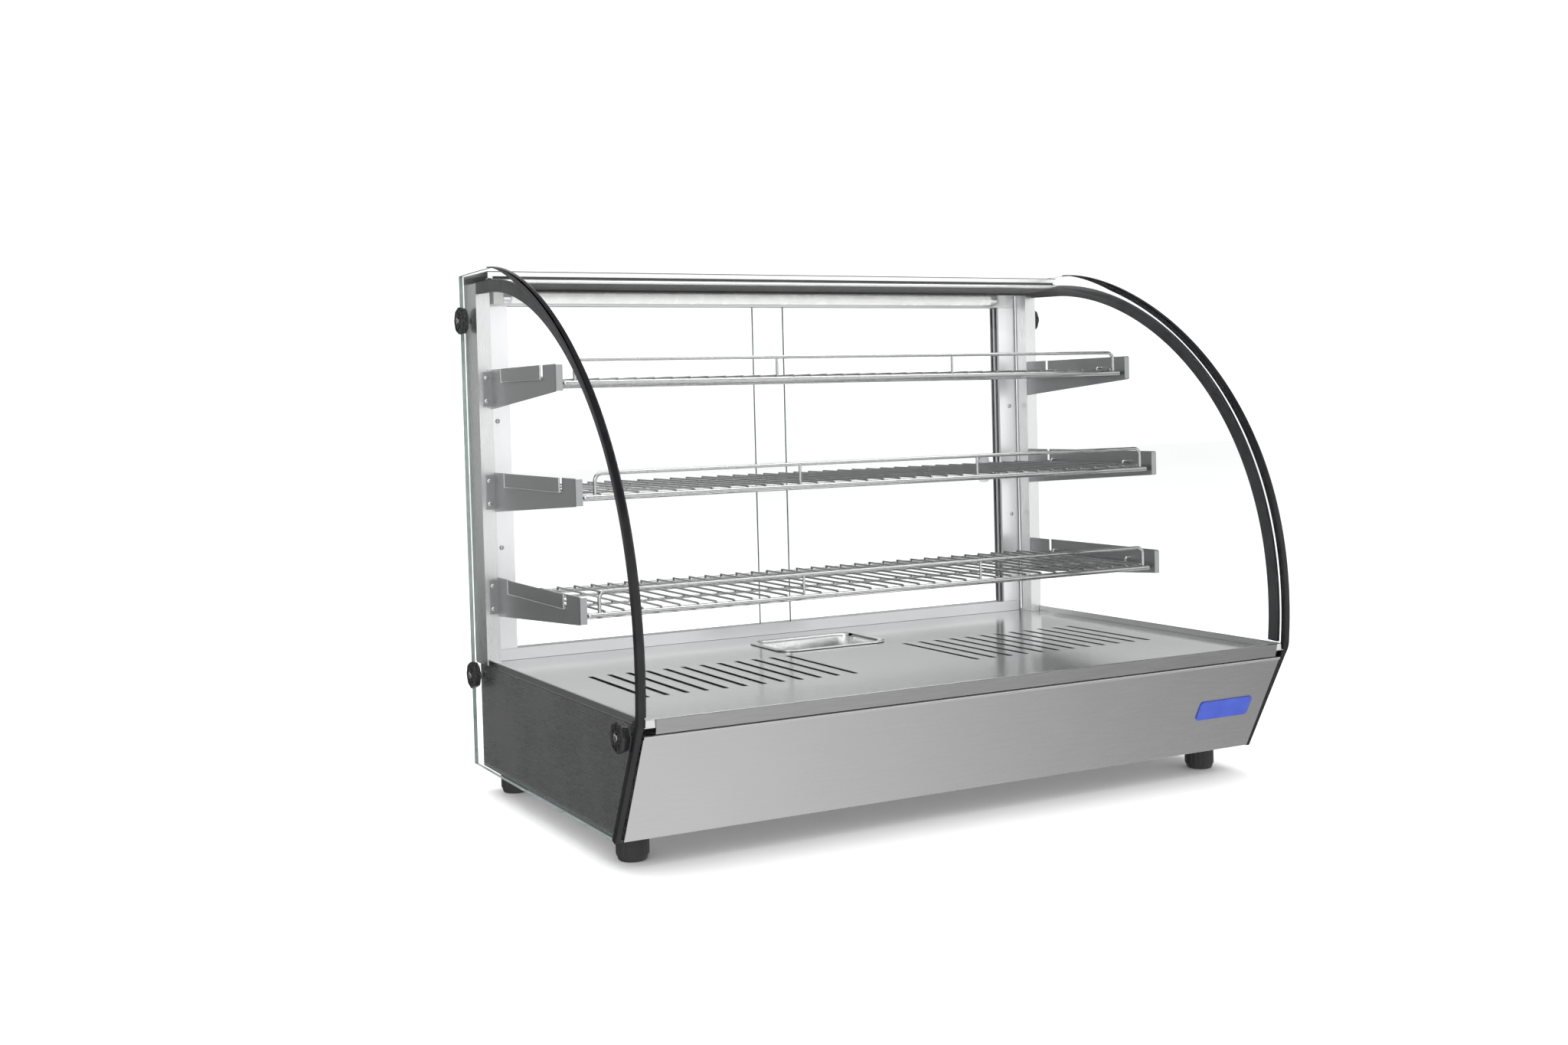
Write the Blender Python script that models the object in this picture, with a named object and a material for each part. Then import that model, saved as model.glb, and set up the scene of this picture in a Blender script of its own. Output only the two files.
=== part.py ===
"""Curved-glass hot food display case for a counter: heated, lit, with wire shelves and sliding doors.

Metres, +Z up. X runs along the width, the customers' curved front glass faces -Y and the doors face +Y.
The origin is at the bottom centre of the whole case, on the surface that its feet stand on.
"""

import math

import bmesh
import bpy
from mathutils import Matrix, Vector

# ---------------------------------------------------------------- driving sizes
GAP = 0.0003                # between pieces that touch
SHEET = 0.0012              # stainless sheet
HALF_WIDTH = 0.5000         # outer faces of the side glasses
SIDE_GLASS = 0.006
FRONT_GLASS = 0.005
DOOR_GLASS = 0.005
REAR_Y = 0.3123             # rear edge of the side glasses
GLASS_BOTTOM_Z = 0.0370
REAR_TOP_Z = 0.7525         # rear top corner of the side glasses
APEX = (0.182, 0.7555)      # highest point of their outline, as (y, z)
ARC_HANDLES = ((0.042, 0.7555), (-0.347, 0.601))
KNEE = (-0.3125, 0.200)     # where the arc ends and the base starts to slope back
TOE = (-0.2297, GLASS_BOTTOM_Z)
ARC_STEPS = 22

TRIM_DEPTH = 0.0095         # legs of the black edge trim
TRIM_WEB = 0.0015
TRIM_LEG = 0.0012
SEAL_FACE_X = 0.4870        # inner faces of the two glass rests
REST_DEPTH = 0.018
REST_CUT_Z = 0.7235         # lower edge of the rests under the canopy

FOOT_X = 0.455
FOOT_Y = (-0.173, 0.262)
FOOT_RADIUS = 0.021
DECK_Z = 0.1880             # food deck
RIM_Z = 0.1970              # top of the deck's upturned rim
DECK_FRONT_Y = -0.3080
DECK_REAR_Y = 0.3110
PANEL_X = 0.4910            # outer face of the front panel's ends
PANEL_TOP = (-0.3035, 0.1765)
PANEL_BOTTOM = (-0.2335, 0.0390)

POST_X = (0.4725, 0.4930)
POST_Y = (0.2570, 0.3110)
POST_TOP_Z = 0.7385
JAMB_X = 0.4370             # inner edge of the door jambs
DOOR_Y = (0.2920, 0.3035)   # inner faces of the front and rear doors
DOOR_Z = (0.1990, 0.7185)
DOOR_OUTER_X = 0.4550
DOOR_OVERLAP = 0.0245       # how far each door passes the middle
PULL_Z = 0.4330
PULL_SIZE = (0.0200, 0.0450)
PULL_WALL = 0.0045
TRACK_Y = (0.2865, 0.3110)
TRACK_TOP_Z = (0.7080, 0.7380)
TRACK_BOTTOM_TOP_Z = 0.2050

CANOPY_Y = (0.1985, 0.3110)
CANOPY_Z = (0.7400, 0.7515)
CANOPY_X = 0.4934

PLATE_X = 0.4730            # shelf bracket plates
SHELF_LEVELS = {"top": (0.6145, -0.0090), "middle": (0.4665, -0.0680), "bottom": (0.3150, -0.0710)}
BRACKET_REAR_Y = POST_Y[0] - GAP
BRACKET_FRONT_DROP = 0.0360
BRACKET_REAR_DROP = 0.0570
LEDGE_DROP = 0.0185         # from a bracket's top edge down to its joggled ledge
SLIT_REAR_Y = 0.2050
SLIT_FRONT_SETBACK = 0.0500
JOGGLE = 0.0070

RAIL_RADIUS = 0.0040        # shelf frame
FENCE_RADIUS = 0.0025
CROSS_WIRE = 0.0030
SHELF_HALF_WIDTH = 0.4660
CROSS_WIRES = 34
FENCE_HALF_WIDTH = 0.4460
FENCE_POST_X = 0.1460
FENCE_RISE = 0.0300

SLOTS_IN_GROUP = 12
SLOT_X = (0.1000, 0.4070)
SLOT_Y = (-0.1230, 0.0770)
SLOT_WIDTH = 0.0080
PAN_CENTRE_Y = 0.1640
PAN_RIM = (0.1860, 0.1280)
PAN_BODY = (0.1680, 0.1100)
PAN_DEPTH = 0.0650

KNOB_RADIUS = 0.0195
KNOB_THICKNESS = 0.0105
KNOBS = {"rear_top": (0.2880, 0.6864), "rear_low": (0.2849, 0.1723), "front_low": (-0.2664, 0.1723)}
STUD_HOLE_RADIUS = 0.0040

REAR_PANEL_Y = 0.2960       # outer face of the operator's control panel
DIAL_X = 0.3300
SWITCH_X = {"power": 0.2100, "light": 0.1450}
CONTROL_Z = 0.1150
PILOT_X = 0.0850
GLAND_AT = (-0.3900, 0.0850)
ROCKER_TILT = 9             # degrees either way from level; modelled switched off

# ---------------------------------------------------------------- scene and materials
for old in list(bpy.data.objects):
    bpy.data.objects.remove(old, do_unlink=True)

parts = bpy.data.collections.new("hot_food_display_case")
cutters = bpy.data.collections.new("cutters")
bpy.context.scene.collection.children.link(parts)
bpy.context.scene.collection.children.link(cutters)


def material(name, colour, roughness, metallic=0.0, alpha=1.0):
    made = bpy.data.materials.new(name)
    made.use_nodes = True
    shader = made.node_tree.nodes["Principled BSDF"]
    shader.inputs["Base Color"].default_value = (*colour, 1.0)
    shader.inputs["Roughness"].default_value = roughness
    shader.inputs["Metallic"].default_value = metallic
    shader.inputs["Alpha"].default_value = alpha
    made.diffuse_color = (*colour, alpha)
    return made


def finish(obj, name, colour, roughness, metallic=0.0, alpha=1.0, smooth=False):
    """Names the piece, gives it a material of its own and puts it among the parts."""
    obj.name = name
    obj.data.name = name
    obj.data.materials.clear()
    obj.data.materials.append(material(name, colour, roughness, metallic, alpha))
    if smooth and obj.type == "MESH":
        obj.data.shade_smooth()
        obj.data.set_sharp_from_angle(angle=math.radians(35))
    return obj


STEEL = ((0.62, 0.62, 0.62), 0.30, 1.0)
SATIN_STEEL = ((0.45, 0.45, 0.46), 0.38, 1.0)
ALUMINIUM = ((0.72, 0.72, 0.72), 0.35, 1.0)
CHROME = ((0.75, 0.75, 0.76), 0.12, 1.0)
BLACK = ((0.012, 0.012, 0.013), 0.35, 0.0)
RUBBER = ((0.02, 0.02, 0.02), 0.6, 0.0)
GLASS = ((0.85, 0.90, 0.89), 0.03, 0.0, 0.25)
WHITE = ((0.85, 0.85, 0.83), 0.4, 0.0)


# ---------------------------------------------------------------- shapes
def place(obj, cutter=False):
    (cutters if cutter else parts).objects.link(obj)
    if cutter:
        obj.hide_render = True
        obj.display_type = "WIRE"
    return obj


def mesh_object(build, location=(0, 0, 0), cutter=False):
    """A new object whose mesh is what build(bm) makes, in its own coordinates."""
    mesh = bpy.data.meshes.new("mesh")
    bm = bmesh.new()
    build(bm)
    bm.to_mesh(mesh)
    bm.free()
    obj = bpy.data.objects.new("piece", mesh)
    obj.location = location
    return place(obj, cutter)


def box(xs, ys, zs, cutter=False):
    size = Vector((abs(xs[1] - xs[0]), abs(ys[1] - ys[0]), abs(zs[1] - zs[0])))
    centre = Vector((sum(xs) / 2, sum(ys) / 2, sum(zs) / 2))
    return mesh_object(
        lambda bm: bmesh.ops.create_cube(bm, size=1, matrix=Matrix.Diagonal((*size, 1))),
        centre, cutter)


AXIS_TURN = {"X": Matrix.Rotation(math.radians(90), 4, "Y"),
             "Y": Matrix.Rotation(math.radians(-90), 4, "X"),
             "Z": Matrix.Identity(4)}


def cylinder(radius, ends, centre, axis="Z", sides=16, tip=None, cutter=False):
    """A cylinder, or a cone with another tip radius, between two stations along its axis."""
    length = ends[1] - ends[0]
    turn = AXIS_TURN[axis]
    middle = {"X": (sum(ends) / 2, *centre), "Y": (centre[0], sum(ends) / 2, centre[1]),
              "Z": (*centre, sum(ends) / 2)}[axis]
    return mesh_object(
        lambda bm: bmesh.ops.create_cone(
            bm, cap_ends=True, segments=sides, radius1=radius,
            radius2=radius if tip is None else tip, depth=length,
            matrix=turn @ Matrix.Rotation(math.pi / sides, 4, "Z")),
        middle, cutter)


def weld(obj):
    """Turns a curve object into a mesh object in its place, with its caps joined on."""
    bpy.context.view_layer.update()
    graph = bpy.context.evaluated_depsgraph_get()
    mesh = bpy.data.meshes.new_from_object(obj.evaluated_get(graph))
    bm = bmesh.new()
    bm.from_mesh(mesh)
    bmesh.ops.remove_doubles(bm, verts=bm.verts, dist=1e-6)
    bmesh.ops.recalc_face_normals(bm, faces=bm.faces)
    bm.to_mesh(mesh)
    bm.free()
    mesh.transform(obj.matrix_world)
    made = bpy.data.objects.new("piece", mesh)
    for collection in obj.users_collection:
        place(made, collection == cutters)
    bpy.data.objects.remove(obj, do_unlink=True)
    return made


PLANE_TURN = {"YZ": (math.pi / 2, 0, math.pi / 2), "XZ": (math.pi / 2, 0, 0), "XY": (0, 0, 0)}


def slab(outlines, span, plane="YZ", cutter=False):
    """A flat outline, with any further outlines as holes, made solid over a span along the third axis."""
    curve = bpy.data.curves.new("outline", "CURVE")
    curve.dimensions = "2D"
    curve.fill_mode = "BOTH"
    curve.extrude = abs(span[1] - span[0]) / 2
    for outline in outlines:
        spline = curve.splines.new("POLY")
        spline.points.add(len(outline) - 1)
        for point, (u, v) in zip(spline.points, outline):
            point.co = (u, v, 0, 1)
        spline.use_cyclic_u = True
    obj = bpy.data.objects.new("outline", curve)
    obj.rotation_euler = PLANE_TURN[plane]
    obj.location["XYZ".index({"YZ": "X", "XZ": "Y", "XY": "Z"}[plane])] = sum(span) / 2
    return weld(place(obj, cutter))


def wire(points, radius, resolution=1, closed=False, cutter=False):
    """A round wire or tube along the points."""
    curve = bpy.data.curves.new("wire", "CURVE")
    curve.dimensions = "3D"
    curve.bevel_depth = radius
    curve.bevel_resolution = resolution
    curve.use_fill_caps = not closed
    spline = curve.splines.new("POLY")
    spline.points.add(len(points) - 1)
    for place_of, point in zip(spline.points, points):
        place_of.co = (*point, 1)
    spline.use_cyclic_u = closed
    return weld(place(bpy.data.objects.new("wire", curve), cutter))


def combine(obj, others, operation):
    """Joins the other solids to this one, or cuts them from it, and applies the result."""
    for other in others:
        modifier = obj.modifiers.new("join", "BOOLEAN")
        modifier.operation = operation
        modifier.object = other
    bpy.context.view_layer.update()
    graph = bpy.context.evaluated_depsgraph_get()
    mesh = bpy.data.meshes.new_from_object(obj.evaluated_get(graph))
    obj.modifiers.clear()
    obj.data = mesh
    for other in others:
        bpy.data.objects.remove(other, do_unlink=True)
    return obj


def joined(obj, *others):
    return combine(obj, others, "UNION")


def cut(obj, *tools):
    return combine(obj, tools, "DIFFERENCE")


def rounded_rectangle(centre, size, radius, steps=3):
    points = []
    for quarter, (sx, sy) in enumerate(((1, 1), (-1, 1), (-1, -1), (1, -1))):
        corner = Vector((centre[0] + sx * (size[0] / 2 - radius), centre[1] + sy * (size[1] / 2 - radius)))
        for step in range(steps + 1):
            angle = math.pi / 2 * (quarter + step / steps)
            points.append(tuple(corner + radius * Vector((math.cos(angle), math.sin(angle)))))
    return points


def filleted(points, radii, steps=3):
    """The closed outline with each corner rounded by its own radius; a radius of 0 keeps it sharp."""
    result = []
    for i, (point, radius) in enumerate(zip(points, radii)):
        here = Vector(point)
        back = (Vector(points[i - 1]) - here).normalized()
        ahead = (Vector(points[(i + 1) % len(points)]) - here).normalized()
        if radius == 0:
            result.append(tuple(here))
            continue
        half = back.angle(ahead) / 2
        reach = radius / math.tan(half)
        centre = here + (back + ahead).normalized() * radius / math.sin(half)
        start, end = here + back * reach - centre, here + ahead * reach - centre
        turn = start.angle_signed(end)
        for step in range(steps + 1):
            angle = -turn * step / steps
            result.append(tuple(centre + Vector((
                start.x * math.cos(angle) - start.y * math.sin(angle),
                start.x * math.sin(angle) + start.y * math.cos(angle)))))
    return result


def bezier(start, handle_1, handle_2, end, steps):
    corners = [Vector(p) for p in (start, handle_1, handle_2, end)]
    points = []
    for step in range(steps + 1):
        t = step / steps
        weights = ((1 - t) ** 3, 3 * t * (1 - t) ** 2, 3 * t * t * (1 - t), t ** 3)
        points.append(sum((w * c for w, c in zip(weights, corners)), Vector((0, 0))))
    return points


def inset(path, distance):
    """The open path moved sideways, to the left of its direction."""
    moved = []
    for i, point in enumerate(path):
        before = (point - path[i - 1]).normalized() if i else (path[1] - point).normalized()
        after = (path[i + 1] - point).normalized() if i + 1 < len(path) else before
        along = (before + after).normalized()
        stretch = 1 / max(0.5, along.dot(before))
        moved.append(point + Vector((-along.y, along.x)) * distance * stretch)
    return moved


def extended(path, reach):
    """The open path with a straight run added at both ends."""
    first = path[0] + (path[0] - path[1]).normalized() * reach
    last = path[-1] + (path[-1] - path[-2]).normalized() * reach
    return [first] + path + [last]


def mirrored_x(obj):
    """A second object, the mirror image of this one across the middle of the case."""
    twin = bpy.data.objects.new("piece", obj.data.copy())
    bm = bmesh.new()
    bm.from_mesh(twin.data)
    bmesh.ops.transform(bm, matrix=Matrix.Diagonal((-1, 1, 1, 1)) @ obj.matrix_basis, verts=bm.verts)
    bmesh.ops.reverse_faces(bm, faces=bm.faces)
    bm.to_mesh(twin.data)
    bm.free()
    return place(twin)


def pair(obj, name, look, smooth=False):
    """The left piece, given at -X, and its twin at +X."""
    twin = mirrored_x(obj)
    finish(obj, name + "_left", *look, smooth=smooth)
    finish(twin, name + "_right", *look, smooth=smooth)
    return obj, twin


def set_origin(obj, point):
    """Moves the object's origin to a point on its joint's axis, leaving its shape where it is."""
    shift = Vector(point) - obj.matrix_basis.translation
    obj.data.transform(Matrix.Translation(-shift))
    obj.location = point


# ---------------------------------------------------------------- the side outline
arc = bezier(APEX, *ARC_HANDLES, KNEE, ARC_STEPS)
knee_turn = bezier(KNEE, (KNEE[0] + 0.0005, KNEE[1] - 0.008), (KNEE[0] + 0.003, KNEE[1] - 0.013),
                   (KNEE[0] + 0.0075, KNEE[1] - 0.0205), 4)[1:]
front_edge = arc + knee_turn + [Vector(TOE)]   # from the apex down to the toe; inwards is to the left
rest_curve = bezier((0.1975, 0.7393), (-0.035, 0.7355), (-0.332, 0.5455), (-0.302, 0.1985), ARC_STEPS)


def between(outer, inner):
    """A closed outline of the band between two paths that run the same way."""
    return [tuple(p) for p in outer] + [tuple(p) for p in reversed(inner)]


# ---------------------------------------------------------------- feet and base
def foot(x, y):
    """A fluted foot with a chamfered tread, and the stud that holds it up into the base."""
    flutes, points = 12, []
    for step in range(2 * flutes):
        radius = FOOT_RADIUS if step % 2 else FOOT_RADIUS * 0.93
        angle = math.pi * step / flutes
        points.append((x + radius * math.cos(angle), y + radius * math.sin(angle)))
    body = slab([points], (0.006, GLASS_BOTTOM_Z), "XY")
    tread = cylinder(FOOT_RADIUS * 0.78, (0, 0.0065), (x, y), sides=24, tip=FOOT_RADIUS * 0.93)
    return joined(body, tread)


for side, x in (("left", -FOOT_X), ("right", FOOT_X)):
    for end, y in (("front", FOOT_Y[0]), ("rear", FOOT_Y[1])):
        finish(foot(x, y), f"foot_{end}_{side}", *RUBBER)

base_floor_z = GLASS_BOTTOM_Z + GAP
floor_front_y = PANEL_BOTTOM[0] + 0.010
side_inner_x = HALF_WIDTH - SIDE_GLASS - 2 * GAP - TRIM_LEG


def base_pan():
    """The bottom sheet, with rows of vents and a folded lip at the rear."""
    vents = [rounded_rectangle((x, y), (0.060, 0.006), 0.0029, 2)
             for x in (-0.30, -0.10, 0.10, 0.30) for y in (0.02, 0.05, 0.08)]
    outline = rounded_rectangle((0, (floor_front_y + REAR_PANEL_Y - 0.004) / 2),
                                (2 * (side_inner_x - 0.003), REAR_PANEL_Y - 0.004 - floor_front_y), 0.004, 1)
    sheet = slab([outline] + vents, (base_floor_z, base_floor_z + SHEET), "XY")
    lip = box((-0.470, 0.470), (REAR_PANEL_Y - 0.006, REAR_PANEL_Y - 0.0048),
              (base_floor_z + SHEET / 2, base_floor_z + 0.014))
    return finish(joined(sheet, lip), "base_pan", *STEEL)


def base_sides():
    """The steel sides behind the glass, with a folded top that carries the deck."""
    top = DECK_Z - SHEET - GAP
    front_top = (-0.2970, top)
    outline = [(REAR_PANEL_Y - 0.0035, base_floor_z), (REAR_PANEL_Y - 0.0035, top), front_top,
               (-0.2225, base_floor_z)]
    web = slab([outline], (-side_inner_x, -side_inner_x + SHEET))
    fold = box((-side_inner_x + SHEET / 2, -side_inner_x + 0.014), (-0.285, REAR_PANEL_Y - 0.006),
               (top - SHEET, top))
    side = joined(web, fold)
    pair(side, "base_side", SATIN_STEEL)


def front_panel():
    """The sloping front, with a rounded hem along its top and a return along its bottom."""
    top, bottom = Vector(PANEL_TOP), Vector(PANEL_BOTTOM)
    down = (bottom - top).normalized()
    inward = Vector((-down.y, down.x))
    hem = [top + inward * 0.0045, top, top - inward * 0.0010 - down * 0.0004,
           top - inward * 0.0018 + down * 0.0022, top + down * 0.0040]
    profile = hem + [bottom, bottom + Vector((0.012, 0)), bottom + Vector((0.012, SHEET)),
                     bottom + Vector((0.001, SHEET)) + inward * SHEET, top + inward * SHEET + down * 0.004,
                     top + inward * 0.0045 + down * 0.004]
    return finish(slab([[tuple(p) for p in profile]], (-PANEL_X, PANEL_X)), "front_panel", *STEEL)


def rear_panel():
    """The operator's panel, cut for the thermostat, the two switches, the pilot light and the cable gland."""
    sheet = box((-0.4870, 0.4870), (REAR_PANEL_Y - SHEET, REAR_PANEL_Y), (base_floor_z, DECK_Z - SHEET - GAP))
    through = (REAR_PANEL_Y - 0.01, REAR_PANEL_Y + 0.01)
    round_holes = ((0.0055, (DIAL_X, CONTROL_Z)), (0.0053, (PILOT_X, CONTROL_Z)), (0.0083, GLAND_AT))
    holes = [cylinder(radius, through, spot, "Y", 16, cutter=True) for radius, spot in round_holes]
    for x in SWITCH_X.values():
        holes.append(box((x - 0.0138, x + 0.0138), (REAR_PANEL_Y - 0.01, REAR_PANEL_Y + 0.01),
                         (CONTROL_Z - 0.0110, CONTROL_Z + 0.0110), cutter=True))
    return finish(cut(sheet, *holes), "rear_panel", *STEEL)


base_pan()
base_sides()
front_panel()
rear_panel()


# ---------------------------------------------------------------- deck, ledge and water pan
def deck():
    """The food deck: two groups of warm-air slots, an opening for the water pan and an upturned rim."""
    xs = [SLOT_X[0] + i * (SLOT_X[1] - SLOT_X[0]) / (SLOTS_IN_GROUP - 1) for i in range(SLOTS_IN_GROUP)]
    centre_y, length = sum(SLOT_Y) / 2, SLOT_Y[1] - SLOT_Y[0]
    openings = [rounded_rectangle((side * x, centre_y), (SLOT_WIDTH, length), SLOT_WIDTH / 2 - 0.0001, 2)
                for side in (-1, 1) for x in xs]
    pan_hole = tuple(side + 0.004 for side in PAN_BODY)
    openings.append(rounded_rectangle((0, PAN_CENTRE_Y), pan_hole, 0.020, 3))
    half = side_inner_x
    plate = box((-half, half), (DECK_FRONT_Y, DECK_REAR_Y), (DECK_Z - SHEET, DECK_Z))
    fold, rim_end = 0.0030, POST_Y[0] - GAP
    inner, fold_y = half - fold, DECK_FRONT_Y + fold
    rim_line = [(-half, DECK_FRONT_Y), (half, DECK_FRONT_Y), (half, rim_end), (inner, rim_end),
                (inner, fold_y), (-inner, fold_y), (-inner, rim_end), (-half, rim_end)]
    rim = slab([rim_line], (DECK_Z - SHEET / 2, RIM_Z), "XY")
    punches = [slab([opening], (DECK_Z - 0.010, DECK_Z + 0.010), "XY", cutter=True) for opening in openings]
    return finish(cut(joined(plate, rim), *punches), "deck", *STEEL)


def front_ledge():
    """The channel between the deck and the front panel that the front glass stands behind."""
    back, under_deck = DECK_FRONT_Y - GAP, DECK_Z - SHEET - 2 * GAP
    profile = [(back, RIM_Z), (back - 0.0035, RIM_Z), (back + 0.0008, 0.1790), (-0.2960, 0.1790),
               (-0.2960, 0.1802), (back + 0.0020, 0.1802), (back + 0.0010, under_deck), (back, under_deck)]
    return finish(slab([profile], (-0.4780, 0.4780)), "front_ledge", *SATIN_STEEL)


def water_pan():
    """The lift-out pan that humidifies the case: a tapered basin with rounded corners and a flat rim."""
    rim_z = DECK_Z + GAP
    rim = slab([rounded_rectangle((0, PAN_CENTRE_Y), PAN_RIM, 0.026, 4)], (rim_z, rim_z + 0.0022), "XY")
    body = slab([rounded_rectangle((0, PAN_CENTRE_Y), PAN_BODY, 0.018, 4)],
                (rim_z - PAN_DEPTH, rim_z + 0.001), "XY")
    inside = tuple(side - 0.002 for side in PAN_BODY)
    hollow = slab([rounded_rectangle((0, PAN_CENTRE_Y), inside, 0.017, 4)],
                  (rim_z - PAN_DEPTH + 0.001, rim_z + 0.01), "XY", cutter=True)
    pan = cut(joined(rim, body), hollow)
    set_origin(pan, (0, PAN_CENTRE_Y, rim_z))
    return finish(pan, "water_pan", *STEEL)


deck()
front_ledge()
water_pan()


# ---------------------------------------------------------------- heating and electrics under the deck
def heating_element(side):
    """A sheathed element in four passes under one group of slots, with its ends turned to the rear."""
    middle = side * sum(SLOT_X) / 2
    passes = (-0.105, -0.035, 0.035, 0.105)
    tail, front, rear = 0.2150, -0.1100, 0.0600
    z, bend, corner = 0.1500, 0.0200, 0.0060
    runs = ((tail, front), (front, rear), (rear, front), (front, tail))
    path = []
    for i, (dx, (first, last)) in enumerate(zip(passes, runs)):
        x, way = middle + dx, math.copysign(1, last - first)
        path.append((x, first + (way * bend if i else 0), z))
        if i == len(passes) - 1:
            path.append((x, last, z))
            break
        following = middle + passes[i + 1]
        path.append((x, last - way * bend, z))
        path.append((x + corner, last - way * corner, z))
        path.append((x + bend, last, z))
        path.append((following - bend, last, z))
        path.append((following - corner, last - way * corner, z))
    return wire(path, 0.0040, 1)


for side, sign in (("left", -1), ("right", 1)):
    finish(heating_element(sign), f"heating_element_{side}", (0.10, 0.09, 0.085), 0.5, 0.8)


def element_bulkhead():
    """The plate that the elements' ends are clamped in, which closes the wiring space off from the heat."""
    y = 0.2300
    plate = box((-0.4600, 0.4600), (y, y + SHEET), (base_floor_z + SHEET + GAP, 0.1860))
    foot_fold = box((-0.4600, 0.4600), (y + SHEET / 2, y + 0.012),
                    (base_floor_z + SHEET + GAP, base_floor_z + 2 * SHEET + GAP))
    return finish(joined(plate, foot_fold), "wiring_bulkhead", *STEEL)


def thermostat():
    """The thermostat behind the rear panel, and its numbered dial outside."""
    inner_y = REAR_PANEL_Y - SHEET - GAP
    half = 0.0200
    body = box((DIAL_X - half, DIAL_X + half), (inner_y - 0.030, inner_y),
               (CONTROL_Z - half, CONTROL_Z + half))
    bush = cylinder(0.0050, (inner_y - 0.001, REAR_PANEL_Y + 0.0008), (DIAL_X, CONTROL_Z), "Y", 16)
    finish(joined(body, bush), "thermostat_body", (0.5, 0.5, 0.48), 0.5)
    dial_y = REAR_PANEL_Y + 0.0012
    points = []
    for step in range(32):
        radius = 0.0190 if step % 4 else 0.0182
        angle = 2 * math.pi * step / 32
        points.append((DIAL_X + radius * math.cos(angle), CONTROL_Z + radius * math.sin(angle)))
    skirt = slab([points], (dial_y, dial_y + 0.0070), "XZ")
    grip = slab([rounded_rectangle((DIAL_X, CONTROL_Z), (0.0100, 0.0340), 0.003, 2)],
                (dial_y + 0.006, dial_y + 0.0165), "XZ")
    dial = joined(skirt, grip)
    set_origin(dial, (DIAL_X, dial_y, CONTROL_Z))
    finish(dial, "thermostat_dial", *BLACK)


def rocker_switch(name, x):
    """A rocker in its snap-in housing. It tips about a pin along X."""
    housing = box((x - 0.0160, x + 0.0160), (REAR_PANEL_Y + GAP, REAR_PANEL_Y + 0.0022),
                  (CONTROL_Z - 0.0130, CONTROL_Z + 0.0130))
    well = box((x - 0.0130, x + 0.0130), (REAR_PANEL_Y - 0.0220, REAR_PANEL_Y + 0.0010),
               (CONTROL_Z - 0.0105, CONTROL_Z + 0.0105))
    hollow = box((x - 0.0110, x + 0.0110), (REAR_PANEL_Y - 0.0080, REAR_PANEL_Y + 0.0100),
                 (CONTROL_Z - 0.0095, CONTROL_Z + 0.0095), cutter=True)
    finish(cut(joined(housing, well), hollow), f"{name}_switch_housing", *BLACK)
    pivot = (x, REAR_PANEL_Y - 0.0010, CONTROL_Z)
    tip = math.radians(ROCKER_TILT)
    profile = [(-0.0050, -0.0080), (0.0030, -0.0084), (0.0052, 0.0000), (0.0030, 0.0084), (-0.0050, 0.0080)]
    spin = Matrix.Rotation(tip, 2)
    turned = [tuple(Vector(pivot[1:]) + spin @ Vector(point)) for point in profile]
    rocker = slab([turned], (x - 0.0107, x + 0.0107))
    set_origin(rocker, pivot)
    finish(rocker, f"{name}_switch_rocker", *BLACK)


def small_electrics():
    spot = (PILOT_X, CONTROL_Z)
    barrel = cylinder(0.0050, (REAR_PANEL_Y - 0.0200, REAR_PANEL_Y + 0.0010), spot, "Y", 16)
    lens = cylinder(0.0075, (REAR_PANEL_Y + GAP, REAR_PANEL_Y + 0.0050), spot, "Y", 16, tip=0.0055)
    lamp = joined(barrel, lens)
    finish(lamp, "pilot_light", (0.6, 0.12, 0.05), 0.25)
    nut = cylinder(0.0120, (REAR_PANEL_Y + GAP, REAR_PANEL_Y + 0.0060), GLAND_AT, "Y", 6)
    stem = cylinder(0.0080, (REAR_PANEL_Y - 0.0100, REAR_PANEL_Y + 0.0030), GLAND_AT, "Y", 16)
    cap = cylinder(0.0105, (REAR_PANEL_Y + 0.0055, REAR_PANEL_Y + 0.0165), GLAND_AT, "Y", 16, tip=0.0070)
    bore = cylinder(0.0036, (REAR_PANEL_Y - 0.0200, REAR_PANEL_Y + 0.0300), GLAND_AT, "Y", 12, cutter=True)
    finish(cut(joined(nut, stem, cap), bore), "cable_gland", *BLACK)


element_bulkhead()
thermostat()
for switch, x in SWITCH_X.items():
    rocker_switch(switch, x)
small_electrics()


# ---------------------------------------------------------------- rear frame, doors and canopy
def posts():
    """The rear corner posts: folded channels that stand on the deck and carry the canopy."""
    (x0, x1), (y0, y1), t = POST_X, POST_Y, 0.0015
    profile = [(-x1, y1), (-x1, y0), (-x0, y0), (-x0, y1 - 0.030), (-x0 - t, y1 - 0.030), (-x0 - t, y0 + t),
               (-x1 + t, y0 + t), (-x1 + t, y1)]
    pair(slab([profile], (DECK_Z + GAP, POST_TOP_Z), "XY"), "corner_post", STEEL)


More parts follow.
